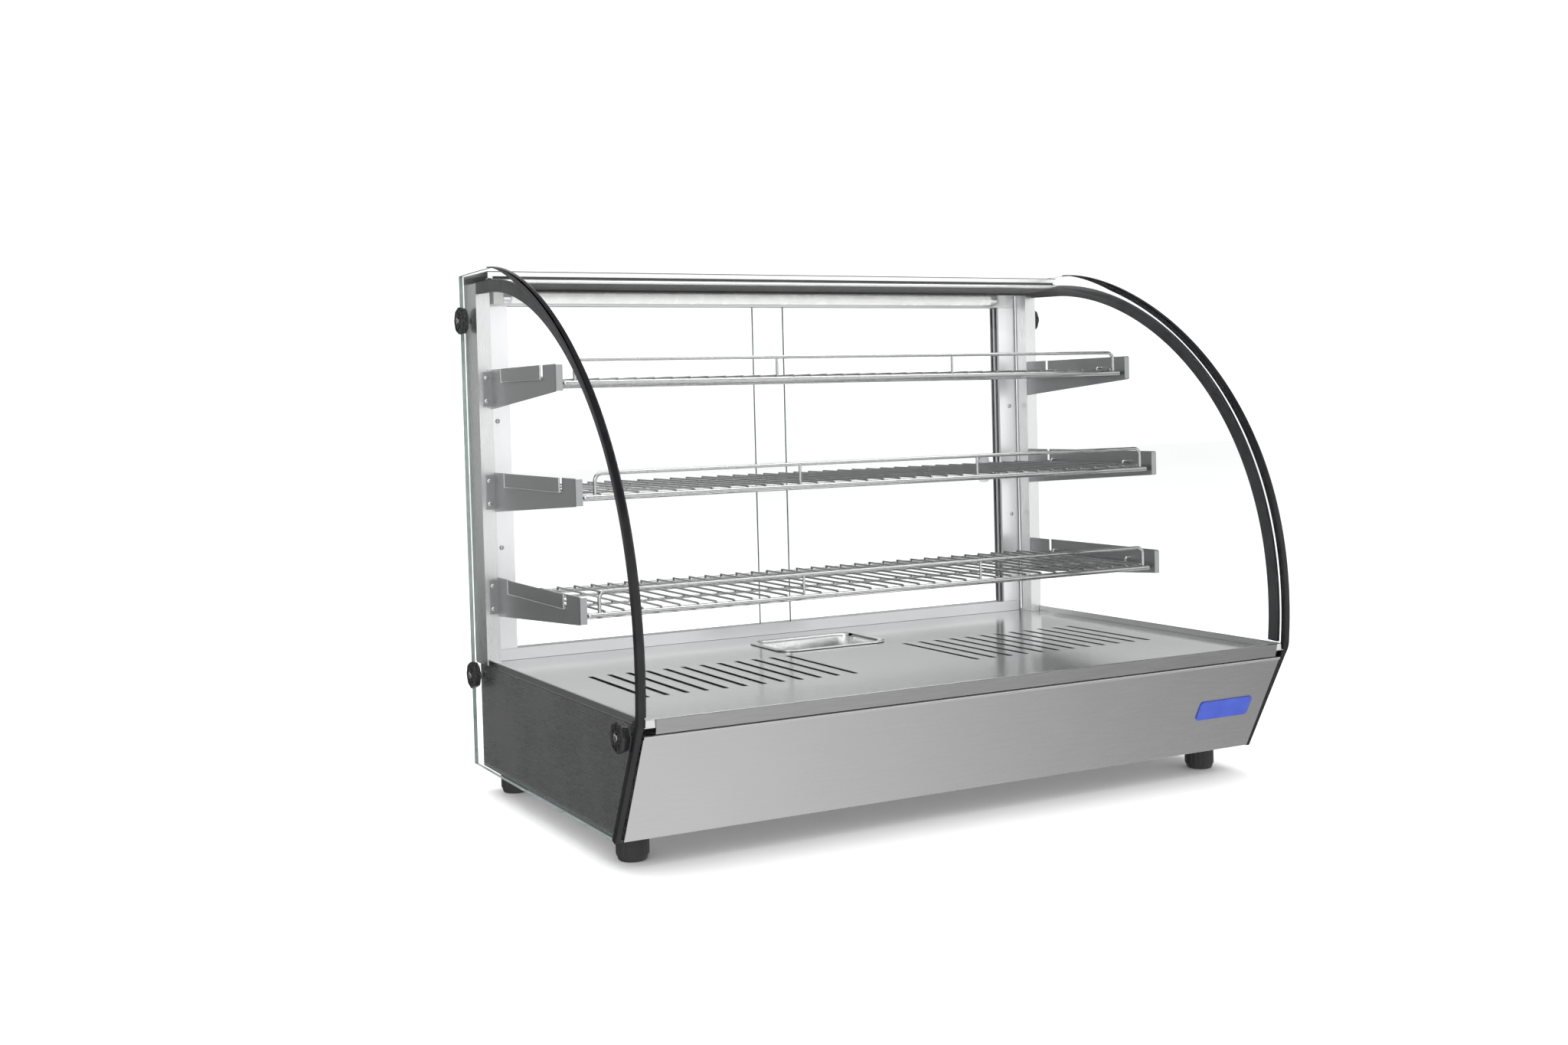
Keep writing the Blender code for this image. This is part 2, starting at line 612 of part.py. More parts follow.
def jambs():
    """The aluminium jambs, each with two grooves that the ends of the doors close into."""
    outer, t = POST_X[0] - GAP, 0.0012
    groove = DOOR_GLASS + 0.0015
    centres = [y + DOOR_GLASS / 2 for y in DOOR_Y]
    profile = [(-outer, TRACK_Y[1]), (-outer, TRACK_Y[0])]
    edge = TRACK_Y[0]
    for centre in centres:
        profile += [(-JAMB_X, edge), (-JAMB_X, centre - groove / 2), (-JAMB_X - 0.0210, centre - groove / 2),
                    (-JAMB_X - 0.0210, centre + groove / 2)]
        edge = centre + groove / 2
    profile += [(-JAMB_X, edge), (-JAMB_X, TRACK_Y[1])]
    z0, z1 = TRACK_BOTTOM_TOP_Z + GAP, TRACK_TOP_Z[0] - GAP
    pair(slab([profile], (z0, z1), "XY"), "door_jamb", ALUMINIUM)


def track(name, base_z, lip_z, floor_z):
    """An E-shaped rail with one groove for each door."""
    groove = DOOR_GLASS + 0.0015
    centres = [y + DOOR_GLASS / 2 for y in DOOR_Y]
    profile = [(TRACK_Y[0], base_z), (TRACK_Y[0], lip_z)]
    for centre in centres:
        low, high = centre - groove / 2, centre + groove / 2
        profile += [(low, lip_z), (low, floor_z), (high, floor_z), (high, lip_z)]
    profile += [(TRACK_Y[1], lip_z), (TRACK_Y[1], base_z)]
    if base_z > lip_z:
        profile.reverse()
    half = POST_X[0] - GAP
    return finish(slab([profile], (-half, half)), name, *ALUMINIUM)


def door(name, y, xs, grip_x):
    """A sliding glass with one rounded lower corner, and the slim pull on its rear face."""
    low_x, high_x = xs
    radius = 0.008
    leading_low = low_x if name == "door_right" else high_x
    corners = [(low_x, DOOR_Z[0]), (high_x, DOOR_Z[0]), (high_x, DOOR_Z[1]), (low_x, DOOR_Z[1])]
    radii = [radius if corner == (leading_low, DOOR_Z[0]) else 0.001 for corner in corners]
    glass = slab([filleted(corners, radii)], (y, y + DOOR_GLASS), "XZ")
    set_origin(glass, (leading_low, y, DOOR_Z[0]))
    finish(glass, name, *GLASS)
    face = y + DOOR_GLASS + GAP
    grip = slab([rounded_rectangle((grip_x, PULL_Z), PULL_SIZE, 0.008, 3)], (face, face + 0.0055), "XZ")
    inside = (PULL_SIZE[0] - 2 * PULL_WALL, PULL_SIZE[1] - 2 * PULL_WALL)
    recess = slab([rounded_rectangle((grip_x, PULL_Z), inside, 0.005, 3)], (face + 0.0015, face + 0.01), "XZ",
                  cutter=True)
    grip = cut(grip, recess)
    set_origin(grip, (leading_low, y, DOOR_Z[0]))
    finish(grip, name.replace("door", "door_pull"), *ALUMINIUM)


def canopy():
    """The narrow stainless top, folded down at the rear and into a bright flange at the front."""
    (y0, y1), (z0, z1), t = CANOPY_Y, CANOPY_Z, SHEET
    rear_z = POST_TOP_Z + GAP
    hem = y0 + 0.010
    top = [(y1, rear_z), (y1, z1), (y0, z1), (y0, z0), (hem, z0), (hem, z0 + t), (y0 + t, z0 + t),
           (y0 + t, z1 - t), (y1 - t, z1 - t), (y1 - t, rear_z)]
    return finish(slab([top], (-CANOPY_X, CANOPY_X)), "canopy", *STEEL)


def canopy_lip():
    """The channel under the canopy: the front glass rests on its nose, and the lamp hangs below it."""
    y0, z = CANOPY_Y[0], CANOPY_Z[0] - GAP
    front = y0 - 0.0120
    profile = [(y0 + 0.0100, z), (y0 + 0.0020, z), (y0 + 0.0020, 0.7383), (front, 0.7383), (front, 0.7348),
               (0.2560, 0.7300), (0.2560, 0.7330), (y0 + 0.0100, 0.7370)]
    return finish(slab([profile], (-SEAL_FACE_X + 2 * GAP, SEAL_FACE_X - 2 * GAP)), "canopy_lip", *STEEL)


def lamp():
    """The lamp under the canopy: a tube between the two end holders of a long carrier."""
    y, z, radius = 0.2700, 0.7185, 0.0080
    carrier = box((-0.4700, 0.4700), (y - 0.0110, y + 0.0120), (z + radius + 0.0006, z + radius + 0.0045))
    holders = [box(ends, (y - 0.0095, y + 0.0095), (z - 0.0090, z + radius + 0.0020))
               for ends in ((-0.4650, -0.4503), (0.4203, 0.4350))]
    finish(joined(carrier, *holders), "lamp_carrier", *WHITE)
    finish(cylinder(radius, (-0.4500, 0.4200), (y, z), "X", 16), "lamp_tube", *WHITE, smooth=True)


posts()
jambs()
track("door_track_bottom", DECK_Z + GAP, TRACK_BOTTOM_TOP_Z, DOOR_Z[0] - GAP)
track("door_track_top", TRACK_TOP_Z[1], TRACK_TOP_Z[0], DOOR_Z[1] + 0.0030)
door("door_left", DOOR_Y[0], (-DOOR_OUTER_X, DOOR_OVERLAP), -0.4180)
door("door_right", DOOR_Y[1], (-DOOR_OVERLAP, DOOR_OUTER_X), 0.4180)
canopy()
canopy_lip()
lamp()


# ---------------------------------------------------------------- side glasses, trims and front glass
def side_glasses():
    edge = inset(front_edge, TRIM_WEB + GAP)
    rear_handle, front_handle = (REAR_Y - 0.05, REAR_TOP_Z + 0.0012), (APEX[0] + 0.04, APEX[1] - 0.0018)
    top = bezier((REAR_Y, REAR_TOP_Z), rear_handle, front_handle, tuple(edge[0]), 4)[:-1]
    outline = [(REAR_Y, GLASS_BOTTOM_Z)] + [tuple(p) for p in top] + [tuple(p) for p in edge]
    glass = slab([outline], (-HALF_WIDTH, -HALF_WIDTH + SIDE_GLASS))
    holes = [cylinder(STUD_HOLE_RADIUS, (-HALF_WIDTH - 0.01, -HALF_WIDTH + 0.02), spot, "X", 12, cutter=True)
             for spot in KNOBS.values()]
    pair(cut(glass, *holes), "side_glass", GLASS)


def edge_trims():
    """The black trim: a channel pushed over the front edge of a side glass, from the canopy to the toe."""
    outer_x = -HALF_WIDTH - GAP - TRIM_LEG
    inner_x = -HALF_WIDTH + SIDE_GLASS + GAP + TRIM_LEG
    solid = slab([between(front_edge, inset(front_edge, TRIM_DEPTH))], (outer_x, inner_x))
    longer = extended(front_edge, 0.010)
    groove = slab([between(inset(longer, TRIM_WEB), inset(longer, TRIM_DEPTH + 0.004))],
                  (outer_x + TRIM_LEG, inner_x - TRIM_LEG), cutter=True)
    pair(cut(solid, groove), "edge_trim", BLACK)


def glass_rests():
    """The dark flanges inside the side glasses, from posts to deck, that hold the front glass."""
    upper = [Vector((POST_Y[0] - GAP, 0.7393))] + rest_curve
    upper = [Vector((p.x, min(p.y, 0.7393))) for p in upper]
    lower = []
    for point in inset(rest_curve, REST_DEPTH):
        if point.y < REST_CUT_Z:
            lower.append(point)
    first = lower[0]
    ahead = lower[1] - first
    slope_start = first - ahead * ((first.y - REST_CUT_Z) / ahead.y)
    lower = [Vector((POST_Y[0] - GAP, REST_CUT_Z)), slope_start] + lower
    outer_x = -HALF_WIDTH + SIDE_GLASS + 2 * GAP + TRIM_LEG
    rest = slab([between(inset(upper, GAP), lower)], (outer_x, -SEAL_FACE_X))
    pair(rest, "glass_rest", BLACK)


def front_glass():
    """The curved front glass, which lies on the two rests and tucks in between the trims."""
    inner = rest_curve
    outer = inset(rest_curve, -FRONT_GLASS)
    half = HALF_WIDTH - SIDE_GLASS - 2 * GAP - TRIM_LEG
    finish(slab([between(outer, inner)], (-half, half)), "front_glass", *GLASS)


def clamp_knob(y, z):
    """A star-faced clamp: a grooved round knob with a screw through its middle."""
    x = -HALF_WIDTH - GAP
    arms, points = 8, []
    for step in range(2 * arms):
        radius = KNOB_RADIUS if step % 2 else KNOB_RADIUS * 0.90
        angle = math.pi * step / arms
        points.append((y + radius * math.cos(angle), z + radius * math.sin(angle)))
    head = slab([points], (x - KNOB_THICKNESS, x - KNOB_THICKNESS * 0.45))
    collar = cylinder(KNOB_RADIUS * 0.80, (x - KNOB_THICKNESS * 0.5, x), (y, z), "X", 20)
    screw = cylinder(0.0050, (x - KNOB_THICKNESS - 0.0017, x - KNOB_THICKNESS + 0.001), (y, z), "X", 12)
    stud = cylinder(0.0030, (x - 0.001, -HALF_WIDTH + SIDE_GLASS + GAP), (y, z), "X", 10)
    return joined(head, collar, screw, stud)


side_glasses()
edge_trims()
glass_rests()
front_glass()
for spot_name, spot in KNOBS.items():
    pair(clamp_knob(*spot), f"glass_clamp_{spot_name}", BLACK)


# ---------------------------------------------------------------- shelf brackets and wire shelves
def bracket(top_z, front_y):
    """A cantilever plate with a folded front flange, a rear flange on the post and a joggled tab.

    The tab stands out towards the glass, and the fold at its foot is the ledge that a shelf's hooks rest on.
    """
    t = 0.0015
    ledge_z = top_z - LEDGE_DROP
    slit_front = front_y + SLIT_FRONT_SETBACK
    outline = filleted(
        [(BRACKET_REAR_Y, top_z), (SLIT_REAR_Y, top_z), (SLIT_REAR_Y, ledge_z + GAP),
         (slit_front, ledge_z + GAP),
         (slit_front, top_z), (front_y, top_z), (front_y, top_z - BRACKET_FRONT_DROP),
         (BRACKET_REAR_Y, top_z - BRACKET_REAR_DROP)],
        [0, 0, 0, 0, 0, 0.005, 0.003, 0])
    plate = slab([outline], (-PLATE_X - t, -PLATE_X))
    outer = -PLATE_X - JOGGLE
    tab = slab([[(outer, top_z), (outer, ledge_z - t), (-PLATE_X - t / 2, ledge_z - t),
                 (-PLATE_X - t / 2, ledge_z),
                 (outer + t, ledge_z), (outer + t, top_z)]], (slit_front + 0.002, SLIT_REAR_Y - 0.002), "XZ")
    flange = box((-PLATE_X - t * 0.6, -PLATE_X + 0.0080), (front_y + 0.0002, front_y + 0.0002 + t),
                 (top_z - BRACKET_FRONT_DROP + 0.0035, top_z - 0.0055))
    flange_y = BRACKET_REAR_Y - 0.0002
    rear_flange = box((-PLATE_X - 0.0140, -PLATE_X - t * 0.4), (flange_y - t, flange_y),
                      (top_z - BRACKET_REAR_DROP + 0.004, top_z - 0.003))
    return joined(plate, tab, flange, rear_flange)


for level, (top_z, front_y) in SHELF_LEVELS.items():
    pair(bracket(top_z, front_y), f"shelf_bracket_{level}", SATIN_STEEL)


def shelf(top_z, front_y):
    """A lift-out wire shelf: a round frame, cross wires, two bearers, a front fence and four hooks."""
    ledge_z = top_z - LEDGE_DROP
    rail_z = ledge_z - 0.0070
    front, rear = front_y + 0.0060, 0.2480
    frame = wire([(x, y, rail_z) for x, y in rounded_rectangle(
        (0, (front + rear) / 2), (2 * SHELF_HALF_WIDTH, rear - front), 0.014, 3)], RAIL_RADIUS, 2, closed=True)
    added = []
    wire_z = rail_z + RAIL_RADIUS - 0.0004
    pitch = 2 * SHELF_HALF_WIDTH / (CROSS_WIRES + 1)
    for i in range(CROSS_WIRES):
        x = -SHELF_HALF_WIDTH + pitch * (i + 1)
        added.append(box((x - CROSS_WIRE / 2, x + CROSS_WIRE / 2), (front - 0.0012, rear + 0.0012),
                         (wire_z, wire_z + CROSS_WIRE)))
    bearer_top = wire_z - GAP
    for y in (front + (rear - front) * 0.33, front + (rear - front) * 0.70):
        added.append(box((-SHELF_HALF_WIDTH, SHELF_HALF_WIDTH), (y - 0.0020, y + 0.0020),
                         (bearer_top - 0.0040, bearer_top)))
    fence_z = rail_z + FENCE_RISE + 0.001
    bend = 0.010
    corner = [(FENCE_HALF_WIDTH, fence_z - bend), (FENCE_HALF_WIDTH - bend * 0.3, fence_z - bend * 0.3),
              (FENCE_HALF_WIDTH - bend, fence_z)]
    path = [(-FENCE_HALF_WIDTH, rail_z)] + [(-x, z) for x, z in corner]
    path += list(reversed(corner)) + [(FENCE_HALF_WIDTH, rail_z)]
    added.append(wire([(x, front, z) for x, z in path], FENCE_RADIUS, 1))
    for x in (-FENCE_POST_X, FENCE_POST_X):
        added.append(box((x - 0.0018, x + 0.0018), (front - 0.0018, front + 0.0018), (rail_z, fence_z)))
    hook_z = ledge_z + GAP
    slit_front = front_y + SLIT_FRONT_SETBACK
    for y in (slit_front + 0.020, SLIT_REAR_Y - 0.020):
        for side in (-1, 1):
            root, tip = side * SHELF_HALF_WIDTH, side * (PLATE_X + JOGGLE - 0.0022)
            added.append(box((root - 0.002, root + 0.002), (y - 0.002, y + 0.002), (rail_z, hook_z + 0.0039)))
            added.append(box((root, tip), (y - 0.002, y + 0.002), (hook_z, hook_z + 0.0040)))
    made = joined(frame, *added)
    set_origin(made, (0, rear, rail_z))
    return made


for level, (top_z, front_y) in SHELF_LEVELS.items():
    finish(shelf(top_z, front_y), f"wire_shelf_{level}", *CHROME)


# ---------------------------------------------------------------- name plate
def name_plate():
    """A small plain plate on the sloping front panel."""
    top, bottom = Vector(PANEL_TOP), Vector(PANEL_BOTTOM)
    down = (bottom - top).normalized()
    outward = Vector((down.y, -down.x))
    centre = top + (bottom - top) * 0.51 + outward * GAP
    plate = slab([rounded_rectangle((0, 0), (0.0950, 0.0310), 0.005, 3)], (0, 0.0012), "XY")
    lean = math.atan2(outward.y, -outward.x)
    plate.matrix_basis = (Matrix.Translation((0.4170, centre.x, centre.y))
                          @ Matrix.Rotation(math.pi / 2 - lean, 4, "X"))
    return finish(plate, "name_plate", (0.04, 0.09, 0.42), 0.3)


name_plate()
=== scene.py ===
"""The looks of a curved-glass hot food display case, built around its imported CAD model. Metres, +Z up."""

import math

import bmesh
import bpy
from mathutils import Matrix, Vector

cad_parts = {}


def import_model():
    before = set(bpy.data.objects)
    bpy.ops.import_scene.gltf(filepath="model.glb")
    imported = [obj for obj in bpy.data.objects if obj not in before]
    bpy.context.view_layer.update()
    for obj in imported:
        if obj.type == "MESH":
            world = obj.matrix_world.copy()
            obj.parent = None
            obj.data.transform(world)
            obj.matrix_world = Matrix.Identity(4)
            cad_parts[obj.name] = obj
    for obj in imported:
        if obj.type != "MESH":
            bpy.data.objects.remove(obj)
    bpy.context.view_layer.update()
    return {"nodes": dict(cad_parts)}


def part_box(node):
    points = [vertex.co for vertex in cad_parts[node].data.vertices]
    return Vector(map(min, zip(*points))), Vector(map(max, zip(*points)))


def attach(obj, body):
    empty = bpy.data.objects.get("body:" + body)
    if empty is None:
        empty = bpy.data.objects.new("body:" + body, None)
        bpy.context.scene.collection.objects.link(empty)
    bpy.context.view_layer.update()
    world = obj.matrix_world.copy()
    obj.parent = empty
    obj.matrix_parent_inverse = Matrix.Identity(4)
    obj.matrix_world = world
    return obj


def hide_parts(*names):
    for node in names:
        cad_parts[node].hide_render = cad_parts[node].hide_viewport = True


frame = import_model()

# ---------------------------------------------------------------- sizes that the CAD boxes don't give
SIDES = {"left": -1, "right": 1}
LEVELS = ("top", "middle", "bottom")
ARC_STEPS = 72
SHARP_ANGLE = 35            # degrees: edges sharper than this are kept crisp, or rounded by a bevel
TRIM_WEB = 0.0015           # the black channel along the curved glass edge
TRIM_LEG = 0.0012
TRIM_DEPTH = 0.0095
TRIM_TAPER = 0.130          # how far down the arc the channel reaches its full depth
TRIM_START = 0.06           # the share of that depth that it starts with
REST_TOP = 0.7393           # heights of the curved glass rests at their rear end, and their depth
REST_REAR_LOW = 0.7235
REST_DEPTH = 0.018
SHEET = 0.0012
FRONT_GLASS = 0.005
GLASS_EDGE = 0.0006         # polished edge on the glass sheets
GLASS_GLOSS = 0.12          # the weight of the reflections on the glass sheets
RAIL = 0.0040               # radii of the shelf wires
FENCE = 0.0025
CROSS = 0.0015
HOOK = 0.0020
CROSS_WIRES = 34
SLOTS_IN_GROUP = 12
SLOT_X = (0.1000, 0.4070)
SLOT_Y = (-0.1230, 0.0770)
SLOT_WIDTH = 0.0080
SLOT_STEPS = 8              # steps in each rounded corner of the deck's openings
BRACKET_SHEET = 0.0015
BRACKET_LEDGE = 0.0185      # from a bracket's top down to the ledge that carries the shelf
BRACKET_FRONT = 0.036       # height of a bracket at its front end
CLAMP_FACE = 0.5003         # where a clamp's inner face stands, just off the side glass
CANOPY_FOLD = 0.7400        # underside of the canopy's folded front edge

CAMERA_AT = (-1.2434, -2.0688, 0.5569)
CAMERA_YAW, CAMERA_PITCH, CAMERA_ROLL = -27.74, -2.11, -1.52
CAMERA_LENS = 38.5
CAMERA_SHIFT = (0.0073, -0.0372)


# ---------------------------------------------------------------- node materials
def tree_of(name):
    made = bpy.data.materials.new(name)
    made.use_nodes = True
    nodes = made.node_tree.nodes
    return made, nodes, made.node_tree.links, nodes["Principled BSDF"]


def set_inputs(node, **values):
    """Sets a node's inputs by name, with _ for each space."""
    for name, value in values.items():
        node.inputs[name.replace("_", " ")].default_value = value


def noise(nodes, links, scale, detail=3.0, stretch=(1, 1, 1), roughness=0.55):
    """A noise texture in the frame's own metres, stretched along the axes."""
    place = nodes.new("ShaderNodeTexCoord")
    mapping = nodes.new("ShaderNodeMapping")
    set_inputs(mapping, Scale=stretch)
    texture = nodes.new("ShaderNodeTexNoise")
    set_inputs(texture, Scale=scale, Detail=detail, Roughness=roughness)
    links.new(place.outputs["Object"], mapping.inputs["Vector"])
    links.new(mapping.outputs["Vector"], texture.inputs["Vector"])
    return texture.outputs["Fac"]


def ramp(nodes, links, factor, low, high, span=(0.3, 0.7)):
    made = nodes.new("ShaderNodeValToRGB")
    made.color_ramp.elements[0].position = span[0]
    made.color_ramp.elements[1].position = span[1]
    made.color_ramp.elements[0].color = (*low, 1)
    made.color_ramp.elements[1].color = (*high, 1)
    links.new(factor, made.inputs["Fac"])
    return made.outputs["Color"]


def spread(nodes, links, factor, low, high, span=(0.3, 0.7), interpolation="LINEAR"):
    """The factor's span mapped to low and high."""
    made = nodes.new("ShaderNodeMapRange")
    made.interpolation_type = interpolation
    set_inputs(made, From_Min=span[0], From_Max=span[1], To_Min=low, To_Max=high)
    links.new(factor, made.inputs["Value"])
    return made.outputs["Result"]


def arithmetic(nodes, links, operation, *values):
    """A Math node's result. Each value is a number or another node's output."""
    made = nodes.new("ShaderNodeMath")
    made.operation = operation
    for socket, value in zip(made.inputs, values):
        if isinstance(value, float):
            socket.default_value = value
        else:
            links.new(value, socket)
    return made.outputs["Value"]


def mixed(nodes, links, factor, first, second):
    made = nodes.new("ShaderNodeMixShader")
    links.new(factor, made.inputs["Fac"])
    links.new(first, made.inputs[1])
    links.new(second, made.inputs[2])
    return made.outputs["Shader"]


def neutral(value):
    return (value, value, value)


def bumped(nodes, links, shader, height, strength, distance):
    made = nodes.new("ShaderNodeBump")
    set_inputs(made, Strength=strength, Distance=distance)
    links.new(height, made.inputs["Height"])
    links.new(made.outputs["Normal"], shader.inputs["Normal"])


def brushed(name, grey, roughness, grain="X", contrast=0.05, bump=0.15):
    """Satin sheet metal: fine streaks along the grain, over slow patches of duller and brighter polish."""
    made, nodes, links, shader = tree_of(name)
    stretch = {"X": (25, 1500, 1500), "Y": (1500, 25, 1500), "Z": (1500, 1500, 25)}[grain]
    streaks = noise(nodes, links, 1.0, 4.0, stretch)
    patches = noise(nodes, links, 7.0, 2.0)
    low = tuple(max(0.0, c - contrast) for c in grey)
    high = tuple(c + contrast for c in grey)
    links.new(ramp(nodes, links, streaks, low, high, (0.25, 0.75)), shader.inputs["Base Color"])
    half = arithmetic(nodes, links, "MULTIPLY", patches, 0.5)
    blend = arithmetic(nodes, links, "MULTIPLY_ADD", streaks, 0.5, half)
    links.new(spread(nodes, links, blend, roughness * 0.8, roughness * 1.2), shader.inputs["Roughness"])
    set_inputs(shader, Metallic=1.0)
    bumped(nodes, links, shader, streaks, bump, 0.00005)
    return made


def plated(name, grey, roughness):
    """Bright plated wire with faint drawing marks and duller patches."""
    made, nodes, links, shader = tree_of(name)
    marks = noise(nodes, links, 260.0, 2.0)
    links.new(ramp(nodes, links, marks, tuple(c * 0.86 for c in grey), grey), shader.inputs["Base Color"])
    links.new(spread(nodes, links, noise(nodes, links, 40.0), roughness * 0.7, roughness * 1.5),
              shader.inputs["Roughness"])
    set_inputs(shader, Metallic=1.0)
    return made


def moulded(name, low, high, roughness, bump=0.2, coat=0.0, specular=0.5):
    """Moulded plastic, rubber or paint: a fine grain, with a slow variation in colour and gloss."""
    made, nodes, links, shader = tree_of(name)
    links.new(ramp(nodes, links, noise(nodes, links, 30.0, 4.0), low, high), shader.inputs["Base Color"])
    links.new(spread(nodes, links, noise(nodes, links, 60.0, 3.0), roughness * 0.85, roughness * 1.2),
              shader.inputs["Roughness"])
    set_inputs(shader, Coat_Weight=coat, Specular_IOR_Level=specular, Coat_Roughness=0.12)
    bumped(nodes, links, shader, noise(nodes, links, 1800.0, 2.0), bump, 0.00008)
    return made


def clear_glass(name, tint):
    """Thin clear glass that bends no light, with faint reflections and a very slightly uneven tint."""
    made, nodes, links, shader = tree_of(name)
    deep = tuple(c * 0.985 for c in tint)
    links.new(ramp(nodes, links, noise(nodes, links, 3.0, 2.0), deep, tint), shader.inputs["Base Color"])
    set_inputs(shader, Transmission_Weight=1.0, Roughness=0.0, IOR=1.0)
    set_inputs(shader, Coat_Weight=GLASS_GLOSS, Coat_Roughness=0.0, Coat_IOR=1.45)
    through = nodes.new("ShaderNodeBsdfTransparent")
    set_inputs(through, Color=(*tint, 1))
    path = nodes.new("ShaderNodeLightPath")
    in_shadow = path.outputs["Is Shadow Ray"]
    surface = mixed(nodes, links, in_shadow, shader.outputs["BSDF"], through.outputs["BSDF"])
    links.new(surface, nodes["Material Output"].inputs["Surface"])
    return made


LOOKS = {
    "panel": brushed("brushed_panel_steel", neutral(0.56), 0.27, "X", 0.025, 0.06),
    "side_panel": brushed("brushed_side_steel", neutral(0.42), 0.28, "Y", 0.02, 0.06),
    "post": brushed("brushed_post_steel", neutral(0.71), 0.28, "Z", 0.03),
    "deck": brushed("polished_deck_steel", neutral(0.66), 0.16, "X", 0.02, 0.06),
    "bracket": brushed("bracket_steel", (0.37, 0.375, 0.38), 0.34, "Y", 0.03),
    "ledge": brushed("ledge_steel", neutral(0.40), 0.35, "X"),
    "canopy": brushed("canopy_steel", neutral(0.88), 0.26, "X", 0.02),
    "aluminium": brushed("anodised_aluminium", (0.90, 0.90, 0.91), 0.36, "Z", 0.03),
    "track": brushed("anodised_track", (0.80, 0.80, 0.81), 0.36, "X", 0.03),
    "pan": plated("pressed_pan_steel", neutral(0.82), 0.17),
    "chrome": plated("plated_wire", neutral(0.54), 0.11),
    "screw": plated("zinc_screws", neutral(0.60), 0.25),
    "black": moulded("black_trim_plastic", (0.004, 0.004, 0.005), (0.010, 0.010, 0.011), 0.20, 0.01,
                     specular=0.35),
    "door_edge": moulded("polished_door_edge", (0.06, 0.08, 0.075), (0.09, 0.11, 0.105), 0.30, 0.02),
    "gasket": moulded("dark_glass_rest", (0.008, 0.008, 0.009), (0.016, 0.016, 0.017), 0.35, 0.02, 0.0, 0.3),
    # painted shade: near-black strips that stand for the shade in the gap above the canopy lip and in front
    # of the lamp carrier
    "gap_shade": moulded("painted_gap_shade", neutral(0.004), neutral(0.009), 0.85, 0.1, 0.0, 0.1),
    # painted shade: a dark paint on the canopy lip's underside stands for the shade under the lip
    "soffit": moulded("painted_shade_soffit", neutral(0.040), neutral(0.055), 0.80, 0.05, 0.0, 0.1),
    "blue_enamel": moulded("blank_blue_enamel", (0.030, 0.065, 0.40), (0.045, 0.085, 0.48), 0.22, 0.01, 0.4),
    "glass_edge": moulded("polished_glass_edge", (0.16, 0.20, 0.19), (0.22, 0.26, 0.25), 0.30, 0.02),
    "knob": moulded("black_knob_plastic", neutral(0.010), neutral(0.018), 0.38, 0.3),
    "rubber": moulded("black_foot_rubber", neutral(0.012), neutral(0.024), 0.62, 0.5),
    "rocker": moulded("black_rocker_gloss", (0.012, 0.012, 0.013), (0.018, 0.018, 0.019), 0.18, 0.05, 0.4),
    "enamel": moulded("white_lamp_enamel", (0.54, 0.54, 0.53), (0.62, 0.62, 0.61), 0.30, 0.1, 0.3),
    "tube": moulded("frosted_lamp_tube", (0.84, 0.84, 0.83), (0.92, 0.92, 0.91), 0.25, 0.02),
    "sheath": moulded("heat_darkened_sheath", (0.07, 0.060, 0.055), (0.14, 0.12, 0.11), 0.5, 0.4),
    "grey_plastic": moulded("grey_thermostat_plastic", (0.40, 0.40, 0.39), (0.50, 0.50, 0.48), 0.45, 0.2),
    "amber": moulded("amber_pilot_lens", (0.60, 0.11, 0.02), (0.75, 0.18, 0.04), 0.18, 0.02, 0.5),
    "print": moulded("white_print", neutral(0.80), neutral(0.88), 0.45, 0.05),
    "glass": clear_glass("curved_clear_glass", (0.985, 0.992, 0.990)),
    "door_glass": clear_glass("door_clear_glass", (0.980, 0.990, 0.987)),
}


# ---------------------------------------------------------------- shape tools
def arc_of(start, handle_1, handle_2, end, steps):
    corners = [Vector(p) for p in (start, handle_1, handle_2, end)]
    points = []
    for step in range(steps + 1):
        t = step / steps
        weights = ((1 - t) ** 3, 3 * t * (1 - t) ** 2, 3 * t * t * (1 - t), t ** 3)
        points.append(sum((w * c for w, c in zip(weights, corners)), Vector((0, 0))))
    return points


def inset(path, distance):
    """The open path moved sideways, to the left of its direction."""
    moved = []
    for i, point in enumerate(path):
        before = (point - path[i - 1]).normalized() if i else (path[1] - point).normalized()
        after = (path[i + 1] - point).normalized() if i + 1 < len(path) else before
        along = (before + after).normalized()
        moved.append(point + Vector((-along.y, along.x)) * distance / max(0.5, along.dot(before)))
    return moved


def filleted(points, radii, steps=6):
    """The closed outline with each corner rounded by its own radius."""
    result = []
    for i, (point, radius) in enumerate(zip(points, radii)):
        here = Vector(point)
        back = (Vector(points[i - 1]) - here).normalized()
        ahead = (Vector(points[(i + 1) % len(points)]) - here).normalized()
        if radius == 0:
            result.append(here)
            continue
        half = back.angle(ahead) / 2
        reach = radius / math.tan(half)
        centre = here + (back + ahead).normalized() * radius / math.sin(half)
        start, end = here + back * reach - centre, here + ahead * reach - centre
        turn = -start.angle_signed(end)
        for step in range(steps + 1):
            spin = Matrix.Rotation(turn * step / steps, 2)
            result.append(centre + spin @ start)
    return result


def rounded_rectangle(centre, size, radius, steps=6):
    x, y = size[0] / 2, size[1] / 2
    corners = [(centre[0] + sx * x, centre[1] + sy * y) for sx, sy in ((1, 1), (-1, 1), (-1, -1), (1, -1))]
    return filleted(corners, [radius] * 4, steps)


